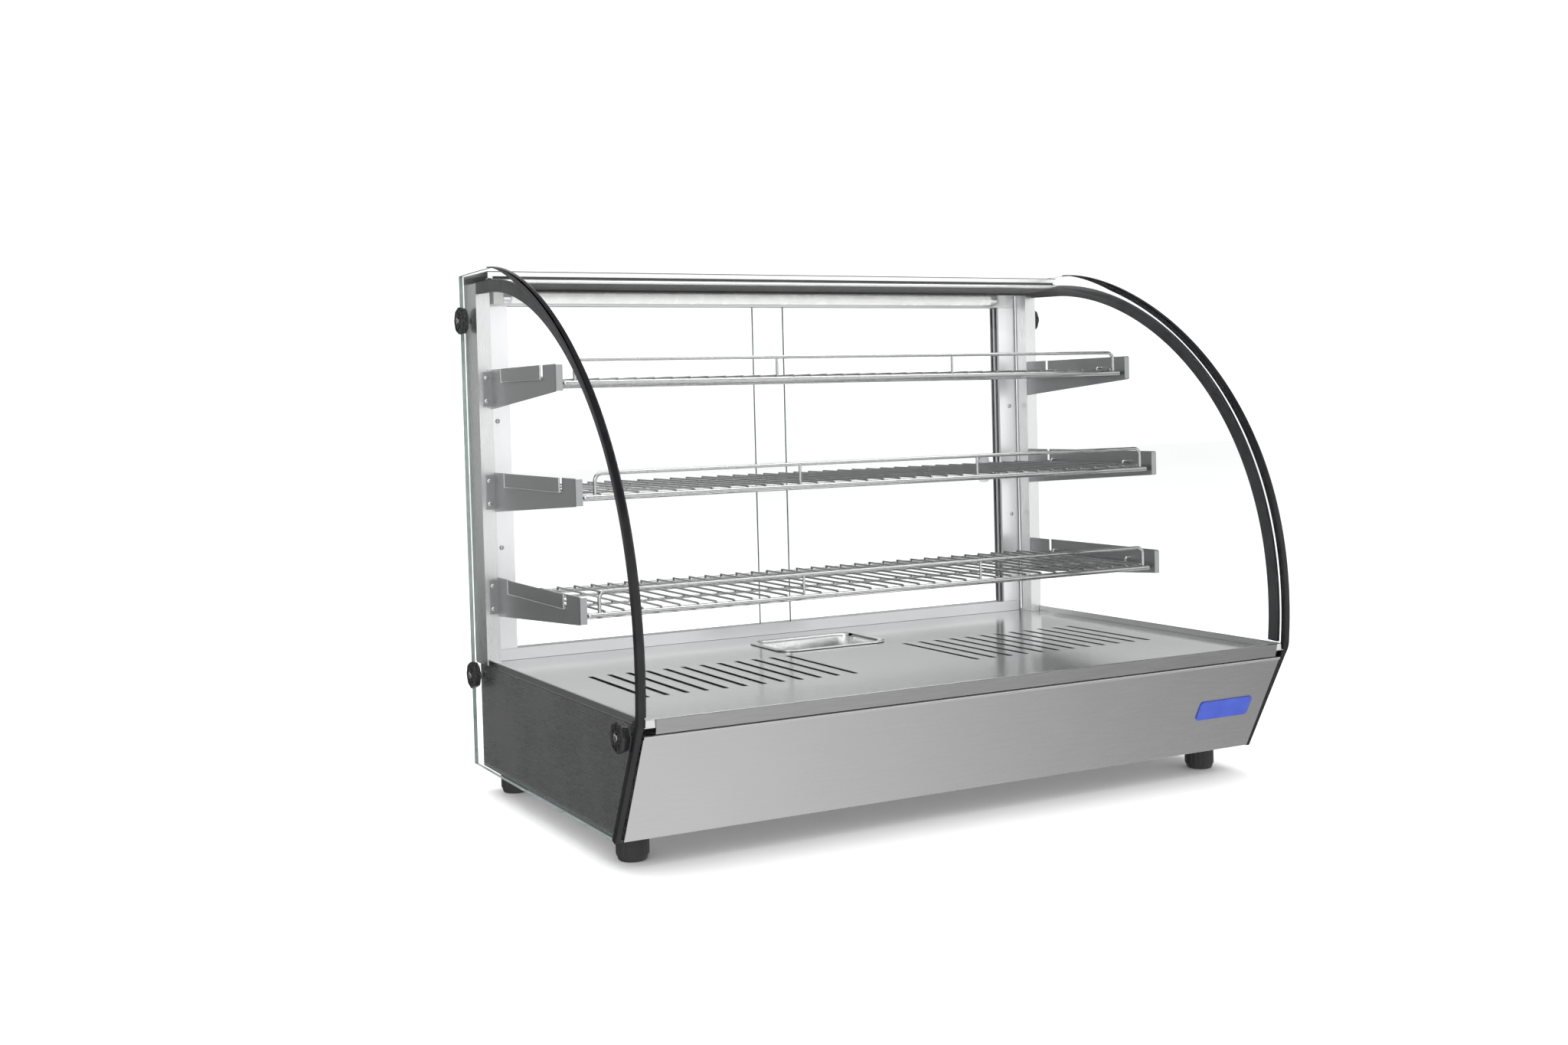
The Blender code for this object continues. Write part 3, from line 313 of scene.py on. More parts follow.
def rounded_route(points, radius, steps=6):
    """An open route in space whose inner corners are rounded."""
    route = [Vector(points[0])]
    for before, here, after in zip(points, points[1:], points[2:]):
        here = Vector(here)
        back, ahead = (Vector(before) - here).normalized(), (Vector(after) - here).normalized()
        half = back.angle(ahead) / 2
        reach = radius / math.tan(half)
        start, end = here + back * reach, here + ahead * reach
        centre = here + (back + ahead).normalized() * radius / math.sin(half)
        for step in range(steps + 1):
            along = (start - centre).slerp(end - centre, step / steps)
            route.append(centre + along * radius)
    route.append(Vector(points[-1]))
    return route


def bridge(bm, first, second):
    """Quads from each side of one closed ring of points to the same side of the next."""
    faces = []
    for k in range(len(first)):
        m = (k + 1) % len(first)
        faces.append(bm.faces.new((first[k], first[m], second[m], second[k])))
    return faces


def add_tube(bm, route, radius, sides=12, closed=False, round_ends=False):
    """A round wire along a route of points. Its open ends are domed when round_ends is set."""
    route = [Vector(p) for p in route]
    count = len(route)
    rings, normal = [], None
    for i, point in enumerate(route):
        before = route[i - 1] if i or closed else point
        after = route[(i + 1) % count] if i + 1 < count or closed else point
        along = (after - before).normalized()
        if normal is None:
            helper = Vector((0, 0, 1)) if abs(along.z) < 0.9 else Vector((1, 0, 0))
            normal = along.cross(helper).normalized()
        normal = (normal - along * normal.dot(along)).normalized()
        side = along.cross(normal)
        ring = []
        for k in range(sides):
            angle = 2 * math.pi * k / sides
            ring.append(bm.verts.new(point + (normal * math.cos(angle) + side * math.sin(angle)) * radius))
        rings.append((ring, point, along))
    for (first, _, _), (second, _, _) in zip(rings, rings[1:] + (rings[:1] if closed else [])):
        bridge(bm, first, second)
    if closed:
        return
    for (ring, point, along), sign in ((rings[0], -1), (rings[-1], 1)):
        if round_ends:
            rim = [v.co.copy() for v in ring]
            for scale, ahead in ((0.8, 0.45), (0.45, 0.8)):
                forward = along * sign * radius * ahead
                smaller = [bm.verts.new(point + (co - point) * scale + forward) for co in rim]
                bridge(bm, *((ring, smaller) if sign > 0 else (smaller, ring)))
                ring = smaller
        bm.faces.new(ring if sign > 0 else ring[::-1])


AXES = {"X": (1, 2, 0), "Y": (0, 2, 1), "Z": (0, 1, 2)}


def add_prism(bm, outline, span, axis="X"):
    """A flat outline made solid between two stations along the axis."""
    u, v, w = AXES[axis]
    rings = []
    for station in span:
        ring = []
        for point in outline:
            place = [0.0, 0.0, 0.0]
            place[u], place[v], place[w] = point[0], point[1], station
            ring.append(bm.verts.new(place))
        rings.append(ring)
    faces = [bm.faces.new(rings[0]), bm.faces.new(rings[1][::-1])] + bridge(bm, rings[1], rings[0])
    bmesh.ops.recalc_face_normals(bm, faces=faces)


def add_lathe(bm, profile, centre, axis, sides=40, ripple=None):
    """A turned shape from (radius, station) points; ripple(angle, radius) may scale each point's radius."""
    u, v, w = AXES[axis]
    rings = []
    for radius, station in profile:
        ring = []
        for k in range(sides):
            angle = 2 * math.pi * k / sides
            r = radius * (ripple(angle, radius) if ripple else 1.0)
            place = [0.0, 0.0, 0.0]
            place[u], place[v] = centre[0] + r * math.cos(angle), centre[1] + r * math.sin(angle)
            place[w] = station
            ring.append(bm.verts.new(place))
        rings.append(ring)
    faces = [bm.faces.new(rings[0]), bm.faces.new(rings[-1][::-1])]
    for first, second in zip(rings, rings[1:]):
        faces += bridge(bm, second, first)
    bmesh.ops.recalc_face_normals(bm, faces=faces)


def spoke(centre, angle, corners):
    """An outline of (radius, sideways) corners, turned to the angle round the centre."""
    way, across = Vector((math.cos(angle), math.sin(angle))), Vector((-math.sin(angle), math.cos(angle)))
    return [Vector(centre) + way * radius + across * sideways for radius, sideways in corners]


def placed(name, data):
    obj = bpy.data.objects.new(name, data)
    bpy.context.scene.collection.objects.link(obj)
    return obj


def piece(name, build, body, look, nodes=(), bevel=0.0, sharp=SHARP_ANGLE, segments=2):
    """A new visible piece: build(bm) makes its mesh in the frame, and it stands for the CAD nodes listed."""
    mesh = bpy.data.meshes.new(name)
    bm = bmesh.new()
    build(bm)
    bm.to_mesh(mesh)
    bm.free()
    return dressed(placed(name, mesh), body, look, nodes, bevel, sharp, segments)


def prism_piece(name, outline, span, axis, body, look, nodes=(), bevel=0.0, segments=2):
    """A new visible piece that is one flat outline made solid."""
    def build(bm):
        add_prism(bm, outline, span, axis)
    return piece(name, build, body, look, nodes, bevel, segments=segments)


def surfaced(obj, look, bevel, sharp=SHARP_ANGLE, segments=2):
    """Gives a piece or a CAD node its material, its rounded edges and its shading."""
    obj.data.materials.clear()
    obj.data.materials.append(LOOKS[look])
    obj.data.shade_smooth()
    obj.data.set_sharp_from_angle(angle=math.radians(sharp))
    if bevel:
        add_bevel(obj, bevel, segments)
    add_weighted_normals(obj)


def dressed(obj, body, look, nodes=(), bevel=0.0, sharp=SHARP_ANGLE, segments=2):
    surfaced(obj, look, bevel, sharp, segments)
    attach(obj, body)
    if nodes:
        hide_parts(*nodes)
    return obj


def add_bevel(obj, width, segments):
    modifier = obj.modifiers.new("edges", "BEVEL")
    modifier.width = width
    modifier.segments = segments
    modifier.limit_method = "ANGLE"
    modifier.angle_limit = math.radians(SHARP_ANGLE)
    modifier.harden_normals = True


def add_weighted_normals(obj):
    """Keeps the shading of broad flat faces flat, next to narrow rounded ones."""
    modifier = obj.modifiers.new("normals", "WEIGHTED_NORMAL")
    modifier.keep_sharp = True
    modifier.weight = 100


def sheet_with_holes(name, outlines, span, axis, edge, body, look, nodes):
    """A flat sheet cut from outlines, the later ones being holes, with all its edges rounded by edge."""
    curve = bpy.data.curves.new(name, "CURVE")
    curve.dimensions = "2D"
    curve.fill_mode = "BOTH"
    curve.extrude = abs(span[1] - span[0]) / 2 - edge
    curve.bevel_depth = edge
    curve.bevel_resolution = 1
    curve.offset = -edge
    for i, outline in enumerate(outlines):
        area = sum(a[0] * b[1] - b[0] * a[1] for a, b in zip(outline, outline[1:] + outline[:1]))
        ordered = outline if (area > 0) == (i == 0) else outline[::-1]
        spline = curve.splines.new("POLY")
        spline.points.add(len(ordered) - 1)
        for point, (u, v) in zip(spline.points, ordered):
            point.co = (u, v, 0, 1)
        spline.use_cyclic_u = True
    helper = placed("outline", curve)
    quarter = math.pi / 2
    helper.rotation_euler = {"X": (quarter, 0, quarter), "Y": (quarter, 0, 0), "Z": (0, 0, 0)}[axis]
    helper.location["XYZ".index(axis)] = sum(span) / 2
    bpy.context.view_layer.update()
    graph = bpy.context.evaluated_depsgraph_get()
    mesh = bpy.data.meshes.new_from_object(helper.evaluated_get(graph))
    mesh.transform(helper.matrix_world)
    bpy.data.objects.remove(helper, do_unlink=True)
    bm = bmesh.new()
    bm.from_mesh(mesh)
    bmesh.ops.remove_doubles(bm, verts=bm.verts, dist=2e-6)
    bmesh.ops.recalc_face_normals(bm, faces=bm.faces)
    bm.to_mesh(mesh)
    bm.free()
    mesh.name = name
    return dressed(placed(name, mesh), body, look, nodes, sharp=40)


def edge_look(obj, axis, look):
    """Gives the narrow edges of a sheet a look of their own, where it is seen end on."""
    obj.data.materials.append(LOOKS[look])
    for face in obj.data.polygons:
        if abs(face.normal["XYZ".index(axis)]) < 0.9:
            face.material_index = 1


def middle_of(node):
    low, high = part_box(node)
    return (low + high) / 2


# ---------------------------------------------------------------- the side outline, as in the CAD
apex = Vector((0.182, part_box("edge_trim_left")[1].z))
knee = Vector((-0.3125, 0.200))
toe = Vector((-0.2297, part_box("side_glass_left")[0].z))
front_edge = arc_of(apex, (0.042, apex.y), (-0.347, 0.601), knee, ARC_STEPS)
front_edge += arc_of(knee, (knee.x + 0.0005, knee.y - 0.008), (knee.x + 0.003, knee.y - 0.013),
                     (knee.x + 0.0075, knee.y - 0.0205), 8)[1:]
front_edge.append(toe)
rest_curve = arc_of((0.1975, REST_TOP), (-0.035, 0.7355), (-0.332, 0.5455), (-0.302, 0.1985), ARC_STEPS)


# ---------------------------------------------------------------- glass
def side_glasses():
    for side in SIDES:
        low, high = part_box(f"side_glass_{side}")
        edge = inset(front_edge, TRIM_WEB + 0.0003)
        top = arc_of((high.y, 0.7525), (high.y - 0.05, 0.7537), (apex.x + 0.04, 0.7537), edge[0], 12)[:-1]
        outline = [Vector((high.y, low.z))] + top + edge
        outline = [tuple(p) for p in outline]
        holes = []
        for spot in ("rear_top", "rear_low", "front_low"):
            centre = middle_of(f"glass_clamp_{spot}_{side}")
            holes.append([(centre.y + 0.004 * math.cos(a), centre.z + 0.004 * math.sin(a))
                          for a in (2 * math.pi * k / 24 for k in range(24))])
        pane = sheet_with_holes(f"side_pane_{side}", [outline] + holes, (low.x, high.x), "X", GLASS_EDGE,
                                "case", "glass", [f"side_glass_{side}"])
        edge_look(pane, "X", "glass_edge")


def front_pane():
    low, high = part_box("front_glass")
    outline = rest_curve + inset(rest_curve, -FRONT_GLASS)[::-1]
    prism_piece("front_pane", outline, (low.x, high.x), "X", "case", "glass", ["front_glass"],
                GLASS_EDGE)


def doors():
    for side in SIDES:
        low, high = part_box(f"door_{side}")
        lead = 1 if side == "left" else 0
        corners = [(low.x, low.z), (high.x, low.z), (high.x, high.z), (low.x, high.z)]
        radii = [0.008 if i == lead else 0.0015 for i in range(4)]
        pane = prism_piece(f"door_pane_{side}", filleted(corners, radii), (low.y, high.y), "Y",
                           f"door_{side}", "door_glass", [f"door_{side}"], GLASS_EDGE)
        edge_look(pane, "Y", "door_edge")


side_glasses()
front_pane()
doors()


# ---------------------------------------------------------------- trims and glass rests
def edge_trims():
    """The black channel on each side glass's front edge, swept along it from a rounded U-shaped section."""
    for side, sign in SIDES.items():
        low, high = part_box(f"edge_trim_{side}")
        outer, inner = (low.x, high.x) if sign < 0 else (high.x, low.x)
        way = 1 if inner > outer else -1
        leg, lip = TRIM_LEG * way, TRIM_LEG * 0.5
        section = [(outer, TRIM_DEPTH - lip), (outer, 0.0022), (outer + 0.0006 * way, 0.0007),
                   (outer + 0.0020 * way, 0.0001), (inner - 0.0020 * way, 0.0001),
                   (inner - 0.0006 * way, 0.0007), (inner, 0.0022), (inner, TRIM_DEPTH - lip),
                   (inner - leg * 0.5, TRIM_DEPTH),
                   (inner - leg, TRIM_DEPTH - lip), (inner - leg, TRIM_WEB), (outer + leg, TRIM_WEB),
                   (outer + leg, TRIM_DEPTH - lip), (outer + leg * 0.5, TRIM_DEPTH)]

        def build(bm):
            ease = [min(1.0, TRIM_START + (1 - TRIM_START) * (apex.x - p.x) / TRIM_TAPER) for p in front_edge]
            layers = {depth: inset(front_edge, depth) for _, depth in section}
            rings = []
            for i, edge in enumerate(front_edge):
                ring = []
                for x, depth in section:
                    share = ease[i] if depth > TRIM_WEB else 1.0
                    ring.append(bm.verts.new((x, *edge.lerp(layers[depth][i], share))))
                rings.append(ring)
            for first, second in zip(rings, rings[1:]):
                bridge(bm, first, second)
            bm.faces.new(rings[0])
            bm.faces.new(rings[-1])
            bmesh.ops.recalc_face_normals(bm, faces=bm.faces)
        piece(f"trim_channel_{side}", build, "case", "black", [f"edge_trim_{side}"], sharp=50)


def glass_rests():
    for side in SIDES:
        low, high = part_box(f"glass_rest_{side}")
        upper = inset([Vector((high.y, REST_TOP))] + rest_curve, 0.0003)
        lower = [p for p in inset(rest_curve, REST_DEPTH) if p.y < REST_REAR_LOW]
        slope = lower[1] - lower[0]
        turn = lower[0] - slope * ((lower[0].y - REST_REAR_LOW) / slope.y)
        lower = [Vector((high.y, REST_REAR_LOW)), turn] + lower
        prism_piece(f"rest_flange_{side}", upper + lower[::-1], (low.x, high.x), "X", "case",
                    "gasket", [f"glass_rest_{side}"], 0.0006)


edge_trims()
glass_rests()


# ---------------------------------------------------------------- base, deck and pan
def front_panel():
    """The sloping front sheet with a rolled hem along its top and a folded return along its bottom."""
    low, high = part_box("front_panel")
    top, bottom = Vector((-0.3035, 0.1765)), Vector((-0.2335, 0.0390))
    down = (bottom - top).normalized()
    inward = Vector((-down.y, down.x))
    roll_centre = top + inward * 0.0008 + down * 0.0018
    roll = [roll_centre + Matrix.Rotation(math.radians(a), 2) @ (inward * 0.0022)
            for a in range(200, -20, -20)]
    fold = Vector((0.012, 0))
    profile = roll + [roll_centre + inward * 0.0016 + down * 0.001, top + inward * SHEET + down * 0.0045,
                      bottom + Vector((0.0010, SHEET)) + inward * SHEET, bottom + fold + Vector((0, SHEET)),
                      bottom + fold, bottom, top + down * 0.0045]
    prism_piece("front_panel_sheet", profile, (low.x, high.x), "X", "case", "panel",
                ["front_panel"], 0.00035)


def front_ledge():
    low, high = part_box("front_ledge")
    back, under = -0.3083, 0.1862
    profile = [(back, high.z), (back - 0.0028, high.z), (back - 0.0035, high.z - 0.0007),
               (back + 0.0008, low.z), (high.y, low.z), (high.y, low.z + SHEET),
               (back + 0.0020, low.z + SHEET), (back + 0.0010, under), (back, under)]
    prism_piece("ledge_strip", profile, (low.x, high.x), "X", "case", "ledge", ["front_ledge"],
                0.0002)


def deck():
    """The food deck with rounded edges on every slot, and its folded rim."""
    low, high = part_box("deck")
    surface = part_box("water_pan")[1].z - 0.0025
    pan = middle_of("water_pan")
    steps = [SLOT_X[0] + i * (SLOT_X[1] - SLOT_X[0]) / (SLOTS_IN_GROUP - 1) for i in range(SLOTS_IN_GROUP)]
    slot_end = SLOT_WIDTH / 2 - 0.00005
    centre_y, length = sum(SLOT_Y) / 2, SLOT_Y[1] - SLOT_Y[0]
    outline = [(low.x, low.y), (high.x, low.y), (high.x, high.y), (low.x, high.y)]
    holes = [rounded_rectangle((sign * x, centre_y), (SLOT_WIDTH, length), slot_end, SLOT_STEPS)
             for sign in (-1, 1) for x in steps]
    holes.append(rounded_rectangle((0, pan.y), (0.172, 0.114), 0.020, SLOT_STEPS))
    plates = [[tuple(p) for p in ring] for ring in [outline] + holes]
    sheet_with_holes("deck_sheet", plates, (surface - SHEET, surface), "Z", 0.0003, "case",
                     "deck", ["deck"])
    rim_end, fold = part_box("corner_post_left")[0].y - 0.0003, 0.0030
    outer = filleted([(low.x, rim_end), (low.x, low.y), (high.x, low.y), (high.x, rim_end)],
                     [0, 0.004, 0.004, 0])
    inner = filleted([(high.x - fold, rim_end), (high.x - fold, low.y + fold), (low.x + fold, low.y + fold),
                      (low.x + fold, rim_end)], [0, 0.0015, 0.0015, 0])
    prism_piece("deck_rim", outer + inner, (surface - 0.0006, high.z), "Z", "case", "deck",
                bevel=0.0009, segments=3)


def water_pan():
    """The pressed pan: a rolled flat rim, tapered walls, a soft bottom radius, all with rounded corners."""
    low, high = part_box("water_pan")
    centre = (low + high) / 2
    rim = Vector((high.x - low.x, high.y - low.y))
    wall = Vector((0.168, 0.110))
    one = Vector((1, 1))
    depth, bottom_radius = high.z - low.z, 0.009
    levels = [(rim - one * 0.0040, 0.024, high.z - 0.0022), (rim, 0.026, high.z - 0.0016),
              (rim, 0.026, high.z - 0.0006), (rim - one * 0.0014, 0.0253, high.z),
              (wall + one * 0.0060, 0.021, high.z), (wall - one * 0.0010, 0.018, high.z - 0.0016),
              (wall - one * 0.0030, 0.017, high.z - 0.0060)]
    for part in (0.3, 0.6, 0.84):
        levels.append((wall - one * (0.003 + 0.010 * part), 0.017, high.z - depth * part))
    for angle in (math.radians(degrees) for degrees in range(15, 91, 15)):
        pull = bottom_radius * (1 - math.cos(angle))
        levels.append((wall - one * (0.0114 + 2 * pull), 0.0165 - pull * 0.8,
                       low.z + 0.001 + bottom_radius * (1 - math.sin(angle))))

    def build(bm):
        rings = []
        for size, radius, z in levels:
            ring = rounded_rectangle((centre.x, centre.y), size, radius, 8)
            rings.append([bm.verts.new((p.x, p.y, z)) for p in ring])
        for first, second in zip(rings, rings[1:]):
            bridge(bm, first, second)
        bm.faces.new(rings[-1])
        bmesh.ops.recalc_face_normals(bm, faces=bm.faces)
        bmesh.ops.reverse_faces(bm, faces=bm.faces)
    pan = piece("pressed_pan", build, "water_pan", "pan", ["water_pan"], sharp=60)
    shell = pan.modifiers.new("sheet", "SOLIDIFY")
    shell.thickness = 0.0008
    shell.offset = 1.0


front_panel()
front_ledge()
deck()
water_pan()


# ---------------------------------------------------------------- shelves and brackets
def wire_shelf(level):
    """A frame of thick wire, thin wires over two stays, a raised fence in front and hooks at the sides."""
    low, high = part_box(f"wire_shelf_{level}")
    rail_z, front, rear = low.z + RAIL, low.y + RAIL, high.y - RAIL
    fence_z = high.z - FENCE
    rail_x, fence_x, post_x = 0.4660, 0.4460, 0.1460
    hook_tip = 0.4760
    bracket_low, bracket_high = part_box(f"shelf_bracket_{level}_left")
    hook_z = bracket_high.z - BRACKET_LEDGE + 0.0003 + HOOK
    wire_z = rail_z + RAIL - 0.0004 + CROSS
    stay_z = wire_z - CROSS - 0.0018

    def build(bm):
        frame_line = rounded_rectangle((0, (front + rear) / 2), (2 * rail_x, rear - front), 0.014, 8)
        add_tube(bm, [(p.x, p.y, rail_z) for p in frame_line], RAIL, 16, closed=True)
        pitch = 2 * rail_x / (CROSS_WIRES + 1)
        for i in range(CROSS_WIRES):
            x = -rail_x + pitch * (i + 1)
            bow = 0.0004 * math.sin(i * 2.1)
            add_tube(bm, [(x, front - 0.0012, wire_z), (x + bow, (front + rear) / 2, wire_z),
                          (x, rear + 0.0012, wire_z)], CROSS, 10, round_ends=True)
        for share in (0.33, 0.70):
            y = front + (rear - front) * share
            add_tube(bm, [(-rail_x, y, stay_z), (rail_x, y, stay_z)], 0.0020, 12)
        fence = rounded_route([(-fence_x, front, rail_z), (-fence_x, front, fence_z),
                               (fence_x, front, fence_z), (fence_x, front, rail_z)], 0.010, 8)
        add_tube(bm, fence, FENCE, 12)
        for x in (-post_x, post_x):
            add_tube(bm, [(x, front, rail_z), (x, front, fence_z - 0.0010)], 0.0019, 10)
        for y in (bracket_low.y + 0.070, 0.185):
            for sign in (-1, 1):
                hook = rounded_route([(sign * rail_x, y, rail_z), (sign * rail_x, y, hook_z),
                                      (sign * hook_tip, y, hook_z)], 0.0026, 5)
                add_tube(bm, hook, HOOK, 10)
    piece(f"shelf_wires_{level}", build, f"shelf_{level}", "chrome", [f"wire_shelf_{level}"],
          sharp=60)


def shelf_bracket(level, side, sign):
    """A folded plate: slits either side of a joggled tab, a bent front flange and a rear flange."""
    low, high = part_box(f"shelf_bracket_{level}_{side}")
    face, heel_reach = 0.4730, 0.0140
    t, ledge_z, joggle = BRACKET_SHEET, high.z - BRACKET_LEDGE, 0.0048
    front, rear, top = low.y, high.y, high.z
    slit_rear, slit_front = 0.2050, front + 0.050
    nose, nose_low = front + 0.0025, top - BRACKET_FRONT
    tab_x, tab_z = sign * (face + joggle - 0.0002), ledge_z - t * 0.6
    tab_ends = (slit_front + 0.0020, slit_rear - 0.0020)

    def sides_of(*points):
        return [(sign * x, y) for x, y in points]

    def build(bm):
        outline = filleted([(rear, top), (slit_rear, top), (slit_rear, ledge_z), (slit_front, ledge_z),
                            (slit_front, top), (nose, top), (nose, nose_low), (rear, low.z)],
                           [0.002, 0, 0.0008, 0.0008, 0, 0, 0, 0])
        add_prism(bm, outline, (sign * face, sign * (face + t)), "X")
        tab = sides_of((face + joggle, top), (face + joggle, ledge_z - t * 0.3),
                       (face + joggle - 0.0007, ledge_z - t), (face + t / 2, ledge_z - t),
                       (face + t / 2, ledge_z - 0.0001), (face + joggle - t - 0.0006, ledge_z),
                       (face + joggle - t, ledge_z + 0.0006), (face + joggle - t, top))
        add_prism(bm, tab, tab_ends, "Y")
        bend = sides_of((face + t, front + 0.0040), (face + t, front + 0.0017),
                        (face + t * 0.7, front + 0.0007), (face, front + 0.0002),
                        (face - 0.0080, front + 0.0002), (face - 0.0080, front + 0.0017),
                        (face - 0.0006, front + 0.0017), (face, front + 0.0023), (face, front + 0.0040))
        add_prism(bm, bend, (nose_low + 0.0008, top - 0.0008), "Z")
        heel = sides_of((face + t * 0.5, rear - 0.0002), (face + heel_reach, rear - 0.0002),
                        (face + heel_reach, rear - 0.0017), (face + t * 0.5, rear - 0.0017))
        add_prism(bm, heel, (low.z + 0.004, top - 0.003), "Z")
    piece(f"bracket_plate_{level}_{side}", build, "case", "bracket",
          [f"shelf_bracket_{level}_{side}"], bevel=0.00035)

    # A thin tube of bright pan steel round the tab's outline: a painted highlight standing for the light
    # caught by the slit edges.
    def build_highlight_edges(bm):
        edge = [(tab_x, tab_ends[1], top), (tab_x, tab_ends[1], tab_z), (tab_x, tab_ends[0], tab_z),
                (tab_x, tab_ends[0], top)]
        add_tube(bm, rounded_route(edge, 0.0010, 3), 0.0008, 8)
    piece(f"bracket_edges_{level}_{side}", build_highlight_edges, "case", "pan")


for shelf_level in LEVELS:
    wire_shelf(shelf_level)
    for bracket_side, way in SIDES.items():
        shelf_bracket(shelf_level, bracket_side, way)


# ---------------------------------------------------------------- clamps and feet
def clamp_knob(node):
    """A black clamp with eight soft lobes, a dished face with ribs and a bright screw."""
    low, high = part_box(node)
    centre = ((low.y + high.y) / 2, (low.z + high.z) / 2)
    sign = -1 if low.x < 0 else 1
    outer, glass_face = (low.x if sign < 0 else high.x), sign * CLAMP_FACE
    face = outer - sign * 0.0017
    radius = 0.0195

    def lobes(angle, r):
        return 1 - 0.035 * (r / radius) ** 4 * (1 - math.cos(8 * angle))

    def build(bm):
        def at(depth):
            return face - sign * depth
        body = [(0.0182, glass_face), (0.0186, at(0.0066)), (0.0186, at(0.0058)), (0.0192, at(0.0052)),
                (radius, at(0.0044)), (radius, at(0.0016)), (0.0190, at(0.0006)), (0.0180, at(0.0)),
                (0.0158, at(0.0)), (0.0148, at(0.0012)), (0.0090, at(0.0016)), (0.0082, at(0.0002)),
                (0.0066, at(0.0)), (0.0060, at(0.0010))]
        add_lathe(bm, body, centre, "X", 96, lobes)
        for k in range(8):
            rib = spoke(centre, 2 * math.pi * (k + 0.5) / 8,
                        ((0.0078, -0.0009), (0.0152, -0.0013), (0.0152, 0.0013), (0.0078, 0.0009)))
            add_prism(bm, rib, sorted((at(0.0018), at(0.0004))), "X")
    piece(node.replace("glass_clamp", "clamp_knob"), build, "case", "knob", [node], sharp=30)

    def build_screw(bm):
        head = [(0.0052, face - sign * 0.0012), (0.0052, face + sign * 0.0006),
                (0.0046, face + sign * 0.0012), (0.0030, outer), (0.0016, outer),
                (0.0014, face + sign * 0.0004)]
        add_lathe(bm, head, centre, "X", 24)
    piece(node.replace("glass_clamp", "clamp_screw"), build_screw, "case", "screw", sharp=40)


def foot(node):
    """A turned rubber foot with flutes round it and a groove near its top."""
    low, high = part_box(node)
    centre = ((low.x + high.x) / 2, (low.y + high.y) / 2)

    def flutes(angle, r):
        return 1 - (0.035 * (1 - abs(math.sin(9 * angle)))) * (r > 0.0185)

    def build(bm):
        profile = [(0.0165, 0.0), (0.0180, 0.0012), (0.0196, 0.0060), (0.0206, 0.0075), (0.0210, 0.0095),
                   (0.0210, high.z - 0.0080), (0.0206, high.z - 0.0066), (0.0184, high.z - 0.0060),
                   (0.0184, high.z - 0.0046), (0.0206, high.z - 0.0040), (0.0208, high.z - 0.0006),
                   (0.0200, high.z)]
        add_lathe(bm, profile, centre, "Z", 144, flutes)
    piece(node.replace("foot", "fluted_foot"), build, "case", "rubber", [node], sharp=40)


for node_name in sorted(frame["nodes"]):
    if node_name.startswith("glass_clamp"):
        clamp_knob(node_name)
    if node_name.startswith("foot"):
        foot(node_name)


# ---------------------------------------------------------------- canopy and lamp
def canopy():
    """The folded top sheet, the lip under it with a bright nose and a painted shade underside, and two
    painted shade strips.
    """
    low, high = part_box("canopy")
    front, t, hem, fold = low.y, SHEET, low.y + 0.010, CANOPY_FOLD
    outline = filleted([(high.y, low.z), (high.y, high.z), (front, high.z), (front, fold), (hem, fold),
                        (hem, fold + t), (front + t, fold + t), (front + t, high.z - t),
                        (high.y - t, high.z - t), (high.y - t, low.z)],
                       [0, 0.0020, 0.0020, 0.0016, 0, 0, 0.0004, 0.0008, 0.0008, 0], 5)
    edge = 0.0002
    prism_piece("canopy_top", outline, (low.x, high.x), "X", "case", "canopy", ["canopy"],
                edge)
    low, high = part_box("canopy_lip")
    width, step, split = (low.x, high.x), front + 0.0020, low.y + 0.0095
    nose = filleted([(hem, high.z), (step, high.z), (step, 0.7383), (low.y, 0.7383), (low.y, 0.7348),
                     (split, 0.7346), (split, 0.7372), (hem, 0.7372)],
                    [0, 0, 0, 0.0015, 0.0015, 0.0004, 0, 0], 5)
    prism_piece("canopy_nose", nose, width, "X", "case", "canopy", ["canopy_lip"], edge)
    # The lip's underside gets the dark painted shade look, standing for the shade under the canopy.
    under = [(split + 0.0002, 0.7345), (high.y, low.z), (high.y, 0.7330), (split + 0.0002, 0.7371)]
    prism_piece("canopy_soffit", under, width, "X", "case", "soffit", bevel=edge)

    # Two black strips of painted shade: one in the gap above the lip, one in the gap in front of the lamp
    # carrier.
    def build_shade_strips(bm):
        strips = ((front - 0.0009, front - 0.0001, fold + 0.0004, 0.7440, 0.0003),
                  (high.y + 0.0002, high.y + 0.0022, 0.7268, 0.7330, 0.0005))
        for near, far, bottom, top, radius in strips:
            gap_shade = filleted([(near, bottom), (far, bottom), (far, top), (near, top)], [radius] * 4, 3)
            add_prism(bm, gap_shade, width, "X")
    piece("canopy_shade_strips", build_shade_strips, "case", "gap_shade")


def lamp():
    """A frosted tube with a crimped metal cap on each end."""
    low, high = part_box("lamp_tube")
    centre = ((low.y + high.y) / 2, (low.z + high.z) / 2)
    radius = (high.z - low.z) / 2

    def build(bm):
        profile = [(radius * 0.7, low.x + 0.012), (radius, low.x + 0.0135), (radius, high.x - 0.0135),
                   (radius * 0.7, high.x - 0.012)]
        add_lathe(bm, profile, centre, "X", 32)
    piece("lamp_tube_glass", build, "case", "tube", ["lamp_tube"])

    def build_caps(bm):
        for end, sign in ((low.x, 1), (high.x, -1)):
            cap = ((0.80, 0.0), (0.98, 0.0010), (0.98, 0.0095), (0.92, 0.0105), (1.0, 0.0115), (0.9, 0.0137))
            add_lathe(bm, [(radius * share, end + sign * depth) for share, depth in cap], centre, "X", 32)
    piece("lamp_end_caps", build_caps, "case", "aluminium", sharp=30)


canopy()
lamp()


